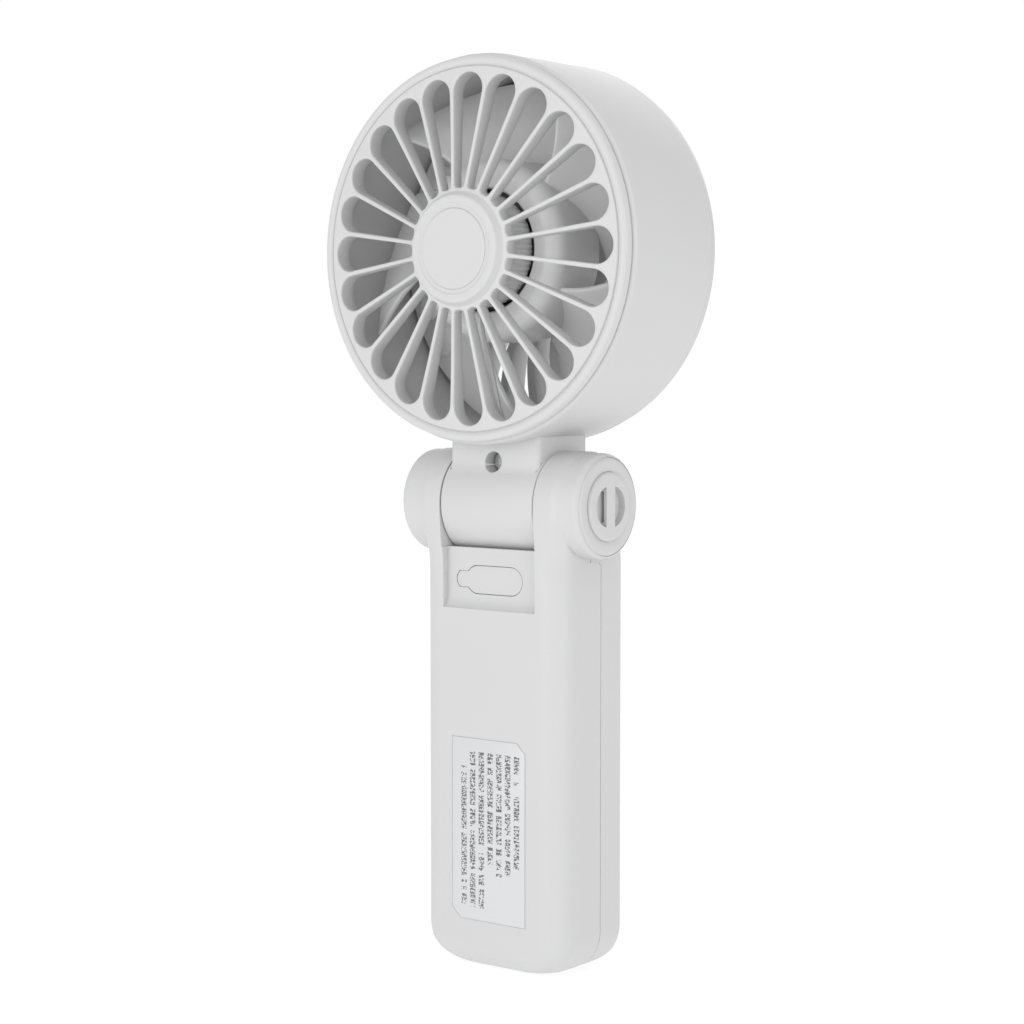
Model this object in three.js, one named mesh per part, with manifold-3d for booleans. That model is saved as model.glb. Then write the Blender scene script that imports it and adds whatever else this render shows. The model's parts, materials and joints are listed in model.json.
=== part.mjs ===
// Folding handheld fan: a battery handle, a friction hinge and a round fan head.
// Millimetres, +Z up. The origin is the centre of the flat foot at the handle's bottom end.
// -Y is the back, with the charging port and the rating label, and +Y is the side the air blows out of.
// The hinge axis runs along X. The fan spins about an axis along Y.
import * as THREE from "three";
import { mergeVertices } from "three/addons/utils/BufferGeometryUtils.js";
import Module from "manifold-3d";

const wasm = await Module();
wasm.setup();

// ---------------------------------------------------------------- driving dimensions
const GAP = 0.3; // clearance between neighbouring pieces
const WALL = 2; // wall of the moulded shells

// Handle: a rounded bar whose back edges are rounder than its front edges.
const HANDLE = { halfWidth: 21.2, back: -13.5, front: 13.5, seam: 2.3, cornerR: 10, backR: 6.6, frontR: 4.5 };

// Hinge: a barrel on the head turns between two knuckles on the handle.
const HINGE = {
  y: -1.9, z: 111, barrelR: 12.7, barrelHalf: 13.6, discR: 12.4, outer: 26.4, pocketR: 8.4, boreR: 3.8,
};
const CAP = { r: 11.2, inner: 24.9, seatR: 11.5 };
const CHEEK_IN = HINGE.barrelHalf + GAP; // inner face of a knuckle
const AXLE = { r: 3.5, boreR: 2.3, half: 23 };

// Recess across the handle under the barrel, on the back and on the front.
const RECESS = { halfWidth: 13.6, bottom: 86.4, rampHeight: 2, backDepth: 1.75, frontDepth: 2.4 };
const HANDLE_TOP = HINGE.z - 10.4; // top of the handle between the knuckles
const CAVITY_TOP = 95;

// Charging port and its cover, on the floor of the back recess.
const PORT = { x: 0.4, z: 93.1, halfLength: 8.3, r: 3.3, tabX: -10.8, tabR: 2.2, openHalf: 5.2, openR: 2.3 };
const BACK_FLOOR = HANDLE.back + RECESS.backDepth;
const FRONT_FLOOR = HANDLE.front - RECESS.frontDepth;

// Button on the front face.
const WINDOW_Z = 91.4; // charge lamp window, in the front recess
const BUTTON = { z: 78.6, r: 4.8, proud: 0.8 };

// Rating label on the back face.
const LABEL = { halfWidth: 10.8, bottom: 12.1, top: 55.5, cut: 2.4, thickness: 0.2 };

// Head, in its own frame: the origin is on the fan axis, in the plane of the hinge axis.
const HEAD_Z = HINGE.z + 59.2;
const DRUM = { r: 45, innerR: 42.6, rear: -15.8, front: 14.3 };
const MID_Y = (DRUM.rear + DRUM.front) / 2; // the two grilles mirror each other about this plane
const GRILLE = { slots: 24, ribHalf: 0.5, slotInner: 13.5, slotOuter: 40.5, bossR: 13.3, cupR: 11.9 };
const NECK = { halfWidth: 13.2, back: -9.5, front: 9.9 };

const BLADE = {
  count: 5, hubR: 21, tipR: 40.6, rear: -9.2, front: 7.6, thickness: 1.4, sweep: 19, wrap: 52, start: 46,
};
const rad = THREE.MathUtils.degToRad;

// ---------------------------------------------------------------- materials
const plastic = (color, roughness = 0.5) =>
  new THREE.MeshStandardMaterial({ color, roughness, metalness: 0 });
const metal = (color, roughness = 0.35) => new THREE.MeshStandardMaterial({ color, roughness, metalness: 1 });
const MATERIALS = {
  shell: plastic(0xdadadb, 0.45),
  impeller: plastic(0xd2d2d3, 0.4),
  silicone: plastic(0xdcdcdd, 0.7),
  label: plastic(0xe9ebf0, 0.35),
  window: plastic(0xb9bcc2, 0.15),
  steel: metal(0xb5b7ba),
  brass: metal(0xc8a560),
  copper: metal(0xb87345),
  magnet: metal(0x3c3d40, 0.5),
  board: plastic(0x1f5a3c, 0.5),
  black: plastic(0x222224, 0.6),
  acetal: plastic(0xeeeee8, 0.4),
  cell: plastic(0x3a6ea8, 0.4),
  foam: plastic(0x4a4a4c, 0.9),
  redWire: plastic(0xb02a25, 0.5),
  blackWire: plastic(0x242426, 0.5),
};

// ---------------------------------------------------------------- geometry helpers
// A closed three.js geometry as a manifold solid, its faces turned outwards.
function solid(geometry) {
  const flat = geometry.index ? geometry.toNonIndexed() : geometry;
  const bare = new THREE.BufferGeometry().setAttribute("position", flat.getAttribute("position"));
  const merged = mergeVertices(bare, 1e-4);
  const index = merged.index.array;
  const triangles = [];
  for (let i = 0; i < index.length; i += 3) {
    const [a, b, c] = [index[i], index[i + 1], index[i + 2]];
    if (a !== b && b !== c && c !== a) triangles.push(a, b, c);
  }
  const make = (list) =>
    new wasm.Manifold(
      new wasm.Mesh({
        numProp: 3,
        vertProperties: merged.attributes.position.array,
        triVerts: new Uint32Array(list),
      }),
    );
  const made = make(triangles);
  if (made.volume() > 0) return made;
  for (let i = 0; i < triangles.length; i += 3) {
    [triangles[i + 1], triangles[i + 2]] = [triangles[i + 2], triangles[i + 1]];
  }
  return make(triangles);
}

// A manifold solid as a flat-shaded three.js geometry.
function geometryOf(made) {
  const mesh = made.getMesh();
  const positions = new Float32Array(mesh.triVerts.length * 3);
  mesh.triVerts.forEach((vertex, i) => {
    const at = vertex * mesh.numProp;
    positions.set(mesh.vertProperties.subarray(at, at + 3), i * 3);
  });
  const geometry = new THREE.BufferGeometry();
  geometry.setAttribute("position", new THREE.BufferAttribute(positions, 3));
  geometry.computeVertexNormals();
  return geometry;
}

const union = (...solids) => solids.reduce((sum, next) => sum.add(next));
const cut = (base, ...tools) => tools.reduce((rest, tool) => rest.subtract(tool), base);

// A box from its lowest to its highest corner.
function box([x0, y0, z0], [x1, y1, z1]) {
  const geometry = new THREE.BoxGeometry(x1 - x0, y1 - y0, z1 - z0);
  return solid(geometry.translate((x0 + x1) / 2, (y0 + y1) / 2, (z0 + z1) / 2));
}

// A solid of revolution about the Y axis, from (radius, y) pairs.
function turned(profile, segments = 48) {
  const closed = profile[0][0] === 0 ? profile : [...profile, profile[0]];
  const points = closed.map(([r, y]) => new THREE.Vector2(r, y));
  return solid(new THREE.LatheGeometry(points, segments));
}

// The same about the X axis, from (radius, x) pairs.
const turnedX = (profile, segments = 40) => turned(profile, segments).rotate([0, 0, -90]);

const rodProfile = (r, from, to) => [[0, from], [r, from], [r, to], [0, to]];
const ringProfile = (inner, outer, from, to) => [[inner, from], [outer, from], [outer, to], [inner, to]];
const rodY = (r, from, to, segments = 16) => turned(rodProfile(r, from, to), segments);
const rodX = (r, from, to, segments = 32) => turnedX(rodProfile(r, from, to), segments);
const ringY = (inner, outer, from, to, segments = 24) =>
  turned(ringProfile(inner, outer, from, to), segments);
const ringX = (inner, outer, from, to, segments = 24) =>
  turnedX(ringProfile(inner, outer, from, to), segments);

// A shape drawn in X and Z, extruded from y0 to y1. A round of radius bevel runs along both ends.
function extrudeY(shape, y0, y1, bevel = 0, curveSegments = 3) {
  const geometry = new THREE.ExtrudeGeometry(shape, {
    depth: y1 - y0 - 2 * bevel,
    bevelEnabled: bevel > 0,
    bevelSize: bevel,
    bevelThickness: bevel,
    bevelOffset: -bevel,
    bevelSegments: 3,
    curveSegments,
  });
  return solid(geometry.rotateX(Math.PI / 2).translate(0, y1 - bevel, 0));
}

// A shape drawn in Y and Z, extruded from x0 to x1.
function extrudeX(shape, x0, x1, curveSegments = 6) {
  const geometry = new THREE.ExtrudeGeometry(shape, { depth: x1 - x0, bevelEnabled: false, curveSegments });
  const turn = new THREE.Matrix4().makeBasis(
    new THREE.Vector3(0, 1, 0),
    new THREE.Vector3(0, 0, 1),
    new THREE.Vector3(1, 0, 0),
  );
  return solid(geometry.applyMatrix4(turn).translate(x0, 0, 0));
}

// A wire or bundle of round section along a smooth curve.
function wire(points, radius, steps) {
  const section = new THREE.Shape().absarc(0, 0, radius, 0, 2 * Math.PI);
  const path = new THREE.CatmullRomCurve3(points.map((p) => new THREE.Vector3(...p)));
  return solid(new THREE.ExtrudeGeometry(section, { steps, extrudePath: path, curveSegments: 4 }));
}

// A stadium-shaped outline in X and Z.
function pill(x, z, halfLength, r) {
  const shape = new THREE.Shape();
  const reach = halfLength - r;
  shape.absarc(x + reach, z, r, -Math.PI / 2, Math.PI / 2);
  shape.absarc(x - reach, z, r, Math.PI / 2, (3 * Math.PI) / 2);
  return shape;
}

// ---------------------------------------------------------------- assembly
const fan = new THREE.Group();
const hinge = new THREE.Group();
hinge.position.set(0, HINGE.y, HINGE.z);
const head = new THREE.Group();
head.position.set(0, HINGE.y, HEAD_Z);
fan.add(hinge, head);

function addPart(group, name, made, material) {
  const mesh = new THREE.Mesh(geometryOf(made), MATERIALS[material]);
  mesh.name = name;
  group.add(mesh);
}

// ---------------------------------------------------------------- handle shells
// Front view of the handle, shrunk by inset: straight sides and round bottom corners.
function handleOutline(inset, top) {
  const half = HANDLE.halfWidth - inset;
  const r = HANDLE.cornerR - inset;
  const shape = new THREE.Shape().moveTo(half, top).lineTo(-half, top);
  shape.absarc(r - half, inset + r, r, Math.PI, (3 * Math.PI) / 2);
  shape.absarc(half - r, inset + r, r, (3 * Math.PI) / 2, 2 * Math.PI);
  return shape;
}

// Side view of the handle: a round top about the hinge axis, which runs down into the flat back and front.
function handleSide() {
  const { y, z, barrelR } = HINGE;
  const backAngle = Math.PI - Math.asin(-Math.sqrt(barrelR ** 2 - (HANDLE.back - y) ** 2) / barrelR);
  const shape = new THREE.Shape().moveTo(HANDLE.back, 0).lineTo(HANDLE.front, 0);
  shape.lineTo(HANDLE.front, z - 14);
  shape.absarc(y, z, barrelR, rad(-12), backAngle, false);
  return shape;
}

// The handle as one block, with the knuckle discs, before it is split and hollowed.
function handleBlock() {
  const top = HINGE.z + HINGE.barrelR + 8;
  const outline = handleOutline(0, top);
  const backHalf = extrudeY(outline, HANDLE.back, HANDLE.front + 20, HANDLE.backR);
  const frontHalf = extrudeY(outline, HANDLE.back - 20, HANDLE.front, HANDLE.frontR);
  const bar = backHalf.intersect(frontHalf).intersect(extrudeX(handleSide(), -30, 30));
  const { barrelR, discR, outer } = HINGE;
  const disc = turnedX([
    [0, 12], [barrelR, 12], [barrelR, 19.4],
    [discR, 21.6], [discR, outer - 1.8], [discR - 0.4, outer - 0.2], [0, outer - 0.2],
  ]);
  const discs = union(disc, disc.mirror([1, 0, 0])).translate([0, HINGE.y, HINGE.z]);
  return bar.add(discs);
}

// The notch between the knuckles: room for the barrel, and the flat top of the handle under it.
function barrelRoom() {
  const slot = box([-CHEEK_IN, -30, HANDLE_TOP], [CHEEK_IN, 30, 150]);
  const swept = rodX(HINGE.barrelR + 0.5, -CHEEK_IN, CHEEK_IN, 40).translate([0, HINGE.y, HINGE.z]);
  return slot.add(swept);
}

// A shallow recess across the handle, whose lower end ramps out to the face.
// side is -1 at the back, 1 at the front.
function recess(face, depth, side) {
  const floor = face - side * depth;
  const outside = face + side * 5;
  const shape = new THREE.Shape()
    .moveTo(outside, RECESS.bottom)
    .lineTo(face, RECESS.bottom)
    .lineTo(floor, RECESS.bottom + RECESS.rampHeight)
    .lineTo(floor, HANDLE_TOP + 1)
    .lineTo(outside, HANDLE_TOP + 1);
  return extrudeX(shape, -RECESS.halfWidth, RECESS.halfWidth);
}

// The space inside the handle: deep below the recesses, shallow between them.
function handleCavity() {
  const deepTop = RECESS.bottom - WALL;
  const outline = handleOutline(WALL, deepTop);
  const backHalf = extrudeY(outline, HANDLE.back + WALL, 30, 4);
  const deep = backHalf.intersect(extrudeY(outline, -30, HANDLE.front - WALL, 1.2));
  const upper = box(
    [WALL - HANDLE.halfWidth, BACK_FLOOR + 1.6, deepTop - 3],
    [HANDLE.halfWidth - WALL, FRONT_FLOOR - 1.6, CAVITY_TOP],
  );
  return deep.add(upper);
}

// Bores and pockets of the knuckles: axle bore, end pockets, friction disc seat and the wire way.
function knuckleRooms() {
  const capSeat = rodX(CAP.seatR, CAP.inner - GAP, HINGE.outer + 1);
  const pocket = rodX(HINGE.pocketR, HINGE.outer - 5.2, HINGE.outer + 1).add(capSeat);
  const rooms = union(
    rodX(HINGE.boreR, -HINGE.outer, HINGE.outer, 24),
    pocket,
    pocket.mirror([1, 0, 0]),
    rodX(9.4, -16.6, -CHEEK_IN + 0.5),
  ).translate([0, HINGE.y, HINGE.z]);
  const wireWay = box([-20.6, HINGE.y - 1.8, CAVITY_TOP - 7], [-17.8, HINGE.y + 1.8, HINGE.z - 5]);
  const wireStep = box([-23.4, HINGE.y - 1.8, HINGE.z - 9], [-17.8, HINGE.y + 1.8, HINGE.z - 5]);
  return union(rooms, wireWay, wireStep);
}

const openingPill = (half, r) => pill(PORT.x, PORT.z, half, r);

// Side view of all that lies on one side of the seam, out to y = far.
// The seam steps back to pass through the axle.
function seamSide(far, gap) {
  const step = HINGE.z - HINGE.discR;
  return new THREE.Shape()
    .moveTo(far, -5)
    .lineTo(HANDLE.seam + gap, -5)
    .lineTo(HANDLE.seam + gap, step - 2)
    .lineTo(HINGE.y + gap, step + 1)
    .lineTo(HINGE.y + gap, 150)
    .lineTo(far, 150);
}

function addHandle() {
  const hollow = cut(
    handleBlock(),
    barrelRoom(),
    recess(HANDLE.back, RECESS.backDepth, -1),
    recess(HANDLE.front, RECESS.frontDepth, 1),
    handleCavity(),
    knuckleRooms(),
  );
  const behindSeam = extrudeX(seamSide(-40, -GAP / 2), -40, 40);
  const beforeSeam = extrudeX(seamSide(40, GAP / 2), -40, 40);

  const coverSeat = union(
    extrudeY(openingPill(PORT.halfLength + GAP, PORT.r + GAP), BACK_FLOOR - 1, BACK_FLOOR + 0.9),
    rodY(PORT.tabR + GAP, BACK_FLOOR - 1, BACK_FLOOR + 0.9).translate([PORT.tabX + PORT.tabR, 0, PORT.z]),
    extrudeY(openingPill(PORT.openHalf, PORT.openR), BACK_FLOOR - 1, BACK_FLOOR + 4),
  );
  const labelSeat = box(
    [-LABEL.halfWidth - GAP, HANDLE.back - 1, LABEL.bottom - GAP],
    [LABEL.halfWidth + GAP, HANDLE.back + 0.12, LABEL.top + GAP],
  );
  const boardPosts = [-14, 14].map((x) => rodY(2.4, -1.2, 11, 10).translate([x, 0, 88]));
  const postHoles = [-14, 14].map((x) => rodY(1, -2, 6, 8).translate([x, 0, 88]));

  addPart(fan, "rear_shell", cut(hollow.intersect(behindSeam), coverSeat, labelSeat), "shell");

  const buttonHole = rodY(BUTTON.r + GAP, 5, 20, 24).translate([0, 0, BUTTON.z]);
  const windowHole = extrudeY(pill(0, WINDOW_Z, 5.3, 1.3), FRONT_FLOOR - 3, FRONT_FLOOR + 1);
  const posts = union(...boardPosts).intersect(box([-40, 3.4, 0], [40, 40, 150]));
  const frontShell = cut(union(hollow.intersect(beforeSeam), posts), buttonHole, windowHole, ...postHoles);
  addPart(fan, "front_shell", frontShell, "shell");
}

// Sticker with two opposite corners cut off.
function addLabel() {
  const { halfWidth: w, bottom, top, cut: c, thickness } = LABEL;
  const shape = new THREE.Shape()
    .moveTo(-w, top)
    .lineTo(w - c, top)
    .lineTo(w, top - c)
    .lineTo(w, bottom)
    .lineTo(c - w, bottom)
    .lineTo(-w, bottom + c);
  addPart(fan, "rating_label", extrudeY(shape, HANDLE.back - 0.1, HANDLE.back - 0.1 + thickness), "label");
}

// ---------------------------------------------------------------- parts on the handle
// The flap fills its seat, with a finger tab at one end and a plug that enters the port.
function addPortCover() {
  const flap = union(
    extrudeY(openingPill(PORT.halfLength, PORT.r), BACK_FLOOR, BACK_FLOOR + 0.6),
    rodY(PORT.tabR, BACK_FLOOR - 0.1, BACK_FLOOR + 0.6).translate([PORT.tabX + PORT.tabR, 0, PORT.z]),
  );
  const plug = extrudeY(openingPill(4.7, 1.8), BACK_FLOOR + 0.5, BACK_FLOOR + 1.8);
  addPart(fan, "port_cover", flap.add(plug), "silicone");
}

function addButton() {
  const { z, r, proud } = BUTTON;
  const face = HANDLE.front + proud;
  const cap = [
    [0, 10.2], [r + 0.6, 10.2], [r + 0.6, 11.1], [r, 11.1], [r, face - 0.5], [r - 0.6, face], [0, face],
  ];
  const stem = rodY(1.6, 5.4, 10.4, 12);
  addPart(fan, "power_button", turned(cap, 24).add(stem).translate([0, 0, z]), "shell");
}

// Light pipe in the front recess, over the charge lamps.
function addIndicator() {
  const pane = extrudeY(pill(0, WINDOW_Z, 5, 1), FRONT_FLOOR - 2.4, FRONT_FLOOR - 0.05);
  const flange = extrudeY(pill(0, WINDOW_Z, 6.4, 2.2), FRONT_FLOOR - 3, FRONT_FLOOR - 1.9);
  addPart(fan, "indicator_window", pane.add(flange), "window");
}

const BOARD = { halfWidth: 16.4, y0: -1.6, y1: -0.4, z0: 75.5, z1: 94 };

function addElectronics() {
  const { halfWidth, y0, y1, z0, z1 } = BOARD;
  const holes = [-14, 14].map((x) => rodY(1.3, y0 - 1, y1 + 1, 10).translate([x, 0, 88]));
  addPart(fan, "circuit_board", cut(box([-halfWidth, y0, z0], [halfWidth, y1, z1]), ...holes), "board");

  const shellOut = extrudeY(openingPill(4.4, 1.55), BACK_FLOOR + 2.4, y0 - GAP);
  const shellIn = extrudeY(openingPill(4.1, 1.25), BACK_FLOOR + 1, y0 - 1.6);
  const tongue = box([PORT.x - 3.3, BACK_FLOOR + 3, PORT.z - 0.35], [PORT.x + 3.3, y0 - 1.4, PORT.z + 0.35]);
  addPart(fan, "usb_socket", union(cut(shellOut, shellIn), tongue), "steel");

  const switchBody = box([-3, y1 + GAP, BUTTON.z - 3], [3, y1 + 3.6, BUTTON.z + 3]);
  const plunger = rodY(1.6, y1 + 3.4, y1 + 4.8, 12).translate([0, 0, BUTTON.z]);
  addPart(fan, "tact_switch", switchBody.add(plunger), "black");

  addPart(fan, "control_chip", box([7, y1 + GAP, 78.5], [12, y1 + 1.6, 83.5]), "black");
  addPart(fan, "charge_coil", box([-12.5, y1 + GAP, 78.5], [-7, y1 + 3.2, 84]), "foam");
  [-14, 14].forEach((x, i) => {
    const screw = union(rodY(1.8, y0 - 1.5, y0 - GAP, 12), rodY(0.7, y0 - 1, 4.6, 8));
    addPart(fan, `board_screw_${i + 1}`, screw.translate([x, 0, 88]), "steel");
  });
}

const CELL = { r: 10.6, z0: 3.8, z1: 73.6 };

function addBattery() {
  const { r, z0, z1 } = CELL;
  const profile = [
    [0, z0], [r - 0.6, z0], [r, z0 + 0.6], [r, z1 - 2], [r - 0.5, z1 - 1], [4, z1 - 1], [4, z1], [0, z1],
  ];
  addPart(fan, "battery_cell", turned(profile, 32).rotate([90, 0, 0]), "cell");
  addPart(fan, "battery_tab_plus", box([-2.5, -2.5, z1 + 0.3], [2.5, 2.5, z1 + 0.6]), "steel");
  addPart(fan, "battery_tab_minus", box([-2.5, -2.5, z0 - 0.6], [2.5, 2.5, z0 - 0.3]), "steel");
  [-1, 1].forEach((side, i) => {
    const block = box([side * 15 - 3.6, -8, 20], [side * 15 + 3.6, 0.8, 60]);
    const pad = block.subtract(rodY(r + 0.5, -40, 40, 32).rotate([90, 0, 0]).translate([0, 0, 40]));
    addPart(fan, `battery_pad_${i + 1}`, pad, "foam");
  });
}

function addHandleWires() {
  const top = CELL.z1 + 0.6;
  const plus = [[2.9, 1.2, top + 0.1], [6, 2, top + 0.6], [9.5, 2.6, top + 1.4], [12.5, 1.4, 77.6]];
  addPart(fan, "battery_lead_plus", wire(plus, 0.45, 8), "redWire");
  const minus = [
    [-3, 1.4, 2.85], [-8.6, 3.8, 2.75], [-12.4, 5.4, 4.2], [-14.6, 6, 9], [-15.2, 6, 20],
    [-15.2, 6, 60], [-14.6, 4, 72],
    [-12.5, 1.4, 77.6],
  ];
  addPart(fan, "battery_lead_minus", wire(minus, 0.45, 18), "blackWire");
  const { y, z } = HINGE;
  const motor = [
    [-14.8, 1.2, 83.6], [-17.6, 0.8, 87.4], [-19.2, y, 92], [-19.2, y, 100],
    [-20.2, y, 103.2], [-22, y, z - 5.6],
    [-21.6, y, z - 2.4], [-19.8, y, z - 0.3], [-17.6, y, z], [-8, y, z], [2.6, y, z],
  ];
  addPart(fan, "motor_lead_handle", wire(motor, 0.8, 24), "blackWire");
}

// ---------------------------------------------------------------- hinge
function addHinge() {
  const { outer, pocketR } = HINGE;
  const window = box([2.2, -4, -1.3], [7.2, 4, 4]);
  const leftMouth = box([-AXLE.half - 1, -1.4, -6], [-AXLE.half + 4, 1.4, 0]);
  const axle = cut(ringX(AXLE.boreR, AXLE.r, -AXLE.half, AXLE.half, 24), window, leftMouth);
  addPart(hinge, "hinge_axle", axle, "steel");

  addPart(hinge, "friction_disc", ringX(3.9, 9.1, -15, -CHEEK_IN, 32), "acetal");
  addPart(hinge, "spring_washer", ringX(3.9, 8.6, -16.2, -15.4, 32), "steel");
  addPart(hinge, "friction_ring", ringX(5.2, 9.1, -13.4, -12.2, 32), "acetal");

  // The bushes turn with the barrel, about the fixed axle.
  addPart(hinge, "hinge_bush_left", ringX(3.85, 4.75, -11.5, -6, 24), "brass");
  addPart(hinge, "hinge_bush_right", ringX(3.85, 4.75, 7.8, 13.3, 24), "brass");

  // Split retaining rings on the ends of the axle. Each opens downwards.
  const clip = ringX(3.8, 6.2, 21.6, 22.4, 24).subtract(box([20, -2, -8], [24, 2, 0]));
  addPart(hinge, "axle_clip_right", clip, "steel");
  addPart(hinge, "axle_clip_left", clip.mirror([1, 0, 0]), "steel");

  // A blank cap on the left. On the right, a ring around a lanyard eyelet, whose bar crosses a round
  // pocket.
  const plugR = pocketR - GAP;
  const capEdge = [[CAP.r, CAP.inner], [CAP.r, outer - 0.6], [CAP.r - 0.6, outer]];
  const leftCap = turnedX([[0, 23.4], [plugR, 23.4], [plugR, CAP.inner], ...capEdge, [0, outer]], 32);
  addPart(hinge, "hinge_cap_left", leftCap.mirror([1, 0, 0]), "shell");
  addPart(hinge, "hinge_cap_right", turnedX([[pocketR, CAP.inner], ...capEdge, [pocketR, outer]], 32), "shell");
  const insertProfile = [
    [0, 23.4], [plugR, 23.4], [plugR, outer + 0.1], [plugR - 0.5, outer + 0.6], [0, outer + 0.6],
  ];
  const insert = turnedX(insertProfile, 32);

  const halfMoon = new THREE.Shape().absarc(0, 0, 4.8, rad(-83), rad(83));
  const moon = extrudeX(halfMoon, 24.4, outer + 2, 6).translate([0, 0.8, 0]);
  const behindBar = box([24.4, -2, -3.6], [25.5, 2, 3.6]);
  addPart(hinge, "lanyard_eyelet", cut(insert, moon, moon.mirror([0, 1, 0]), behindBar), "shell");
}

// ---------------------------------------------------------------- head shell
function addHeadShell() {
  const drop = HINGE.z - HEAD_Z; // the hinge axis in the head's frame
  const drum = rodY(DRUM.r, DRUM.rear, DRUM.front, 64);
  const bore = rodY(DRUM.innerR, DRUM.rear - 5, DRUM.front + 5, 64);
  const neck = box([-NECK.halfWidth, NECK.back, drop], [NECK.halfWidth, NECK.front, -41]);
  const barrel = rodX(HINGE.barrelR, -HINGE.barrelHalf, HINGE.barrelHalf, 40).translate([0, 0, drop]);

  const axleBore = union(rodX(5, -20, 20, 24), rodX(9.4, -20, -11.9, 32)).translate([0, 0, drop]);
  const wireWay = union(box([2.8, -3, drop], [9.5, 3, -40]), box([4.6, -14.6, -43.7], [7.4, 3, -40]));
  const screwWell = rodY(2.5, -20, -3.5, 20).translate([0, 0, drop + 10]);
  const screwPilot = rodY(1.15, -6, 7, 10).translate([0, 0, drop + 10]);
  const shell = cut(union(drum, neck, barrel), bore, axleBore, wireWay, screwWell, screwPilot);
  addPart(head, "head_shell", shell, "shell");

  const screw = union(rodY(2.1, -6.4, -3.9, 16), rodY(0.85, -5, 5.6, 8));
  addPart(head, "neck_screw", screw.translate([0, 0, drop + 10]), "steel");
}

// ---------------------------------------------------------------- grilles
// Outline of one slot, from its narrow inner end to its round outer end. swirl leans the slot, in degrees.
function slotShape(swirl) {
  const halfPitch = Math.PI / GRILLE.slots;
  const halfAt = (r) => r * Math.sin(halfPitch) - GRILLE.ribHalf;
  const tipR = halfAt(GRILLE.slotOuter) / (1 + Math.sin(halfPitch));
  const centre = GRILLE.slotOuter - tipR;
  const lean = (r) => rad(swirl) * ((r - GRILLE.slotInner) / (centre - GRILLE.slotInner));
  const place = (r, side, angle = lean(r)) =>
    new THREE.Vector2(
      r * Math.cos(angle) - side * Math.sin(angle),
      r * Math.sin(angle) + side * Math.cos(angle),
    );
  const steps = swirl ? 2 : 1;
  const along = Array.from({ length: steps + 1 }, (_, i) =>
    THREE.MathUtils.lerp(GRILLE.slotInner, centre, i / steps),
  );
  const points = along.map((r) => place(r, halfAt(r)));
  for (let i = 1; i < 4; i += 1) {
    const turn = Math.PI / 2 - (Math.PI * i) / 4;
    points.push(place(centre + tipR * Math.cos(turn), tipR * Math.sin(turn), lean(centre)));
  }
  return new THREE.Shape([...points, ...along.reverse().map((r) => place(r, -halfAt(r)))]);
}

// A domed disc with a ring, a ring of slots and a boss in the middle.
// The profile is drawn for the rear grille.
function grille(inside, swirl) {
  const outside = [
    [0, -23.3], [9.9, -23.3], [9.9, -24.6], [11.4, -24.5], [GRILLE.bossR, -22.8],
    [41.4, -18.9], [43.2, -18.9], [44.8, -17.3], [44.8, -16.1], [42.2, -16.1], [42.2, -14.4], [40.6, -14.4],
  ];
  const disc = turned([...outside, ...inside]);
  const slot = extrudeY(slotShape(swirl), -30, -13);
  const slots = Array.from({ length: GRILLE.slots }, (_, i) => slot.rotate([0, (360 / GRILLE.slots) * i, 0]));
  return cut(disc, ...slots);
}

// The profile behind the boss: a cup that holds the motor, or a plain floor.
const motorCup = [
  [GRILLE.bossR, -19.8], [GRILLE.bossR, -14.3], [GRILLE.cupR, -14.3], [GRILLE.cupR, -21.9], [0, -21.9],
];
const plainBoss = [[GRILLE.bossR, -19.8], [11.9, -19.8], [11.9, -21.9], [0, -21.9]];
const toFront = (made) => made.mirror([0, 1, 0]).translate([0, 2 * MID_Y, 0]);

const MOTOR_SCREW_R = 8.2;
const MOTOR_SCREWS = [90, 210, 330].map((degrees) => [
  MOTOR_SCREW_R * Math.cos(rad(degrees)), 0, MOTOR_SCREW_R * Math.sin(rad(degrees)),
]);

function addGrilles() {
  const pilots = MOTOR_SCREWS.map((at) => rodY(0.95, -22.9, -21, 8).translate(at));
  const wireNotch = box([-0.8, -18.2, -14], [3, -14, -11]);
  addPart(head, "rear_grille", cut(grille(motorCup, 0), wireNotch, ...pilots), "shell");
  addPart(head, "front_grille", toFront(grille(plainBoss, 20)), "shell");
  const disc = turned([[0, -24.7], [9, -24.7], [9.6, -24.4], [9.6, -23.6], [0, -23.6]], 40);
  addPart(head, "rear_boss_disc", disc, "shell");
  addPart(head, "front_boss_disc", toFront(disc), "shell");
}

// ---------------------------------------------------------------- impeller
// One blade: a thin box bent into a helical sheet. Its rear edge leads anticlockwise, seen from the back.
function blade(index) {
  const geometry = new THREE.BoxGeometry(1, 1, 1, 3, 1, 5);
  const position = geometry.getAttribute("position");
  for (let i = 0; i < position.count; i += 1) {
    const out = position.getX(i) + 0.5;
    const across = position.getZ(i) + 0.5;
    const r = THREE.MathUtils.lerp(BLADE.hubR - 0.9, BLADE.tipR, out);
    const camber = 1.6 * Math.sin(Math.PI * across);
    const middleY = THREE.MathUtils.lerp(BLADE.rear, BLADE.front, across) + camber;
    const y = middleY + position.getY(i) * BLADE.thickness;
    const angle = rad(BLADE.start + BLADE.sweep * out - BLADE.wrap * across + (360 / BLADE.count) * index);
    position.setXYZ(i, r * Math.cos(angle), y, r * Math.sin(angle));
  }
  return solid(geometry);
}

function addImpeller() {
  const hub = turned([
    [0, 2.2], [19.9, 2.2], [19.9, -10.4], [15.6, -10.9],
    [15.6, -12.4], [19.4, -12], [21.3, -9.6], [21.3, 2.6],
    [20.3, 3.8], [0, 3.8],
  ], 40);
  const blades = Array.from({ length: BLADE.count }, (_, i) => blade(i));
  addPart(head, "impeller", union(hub, ...blades), "impeller");
}

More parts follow.
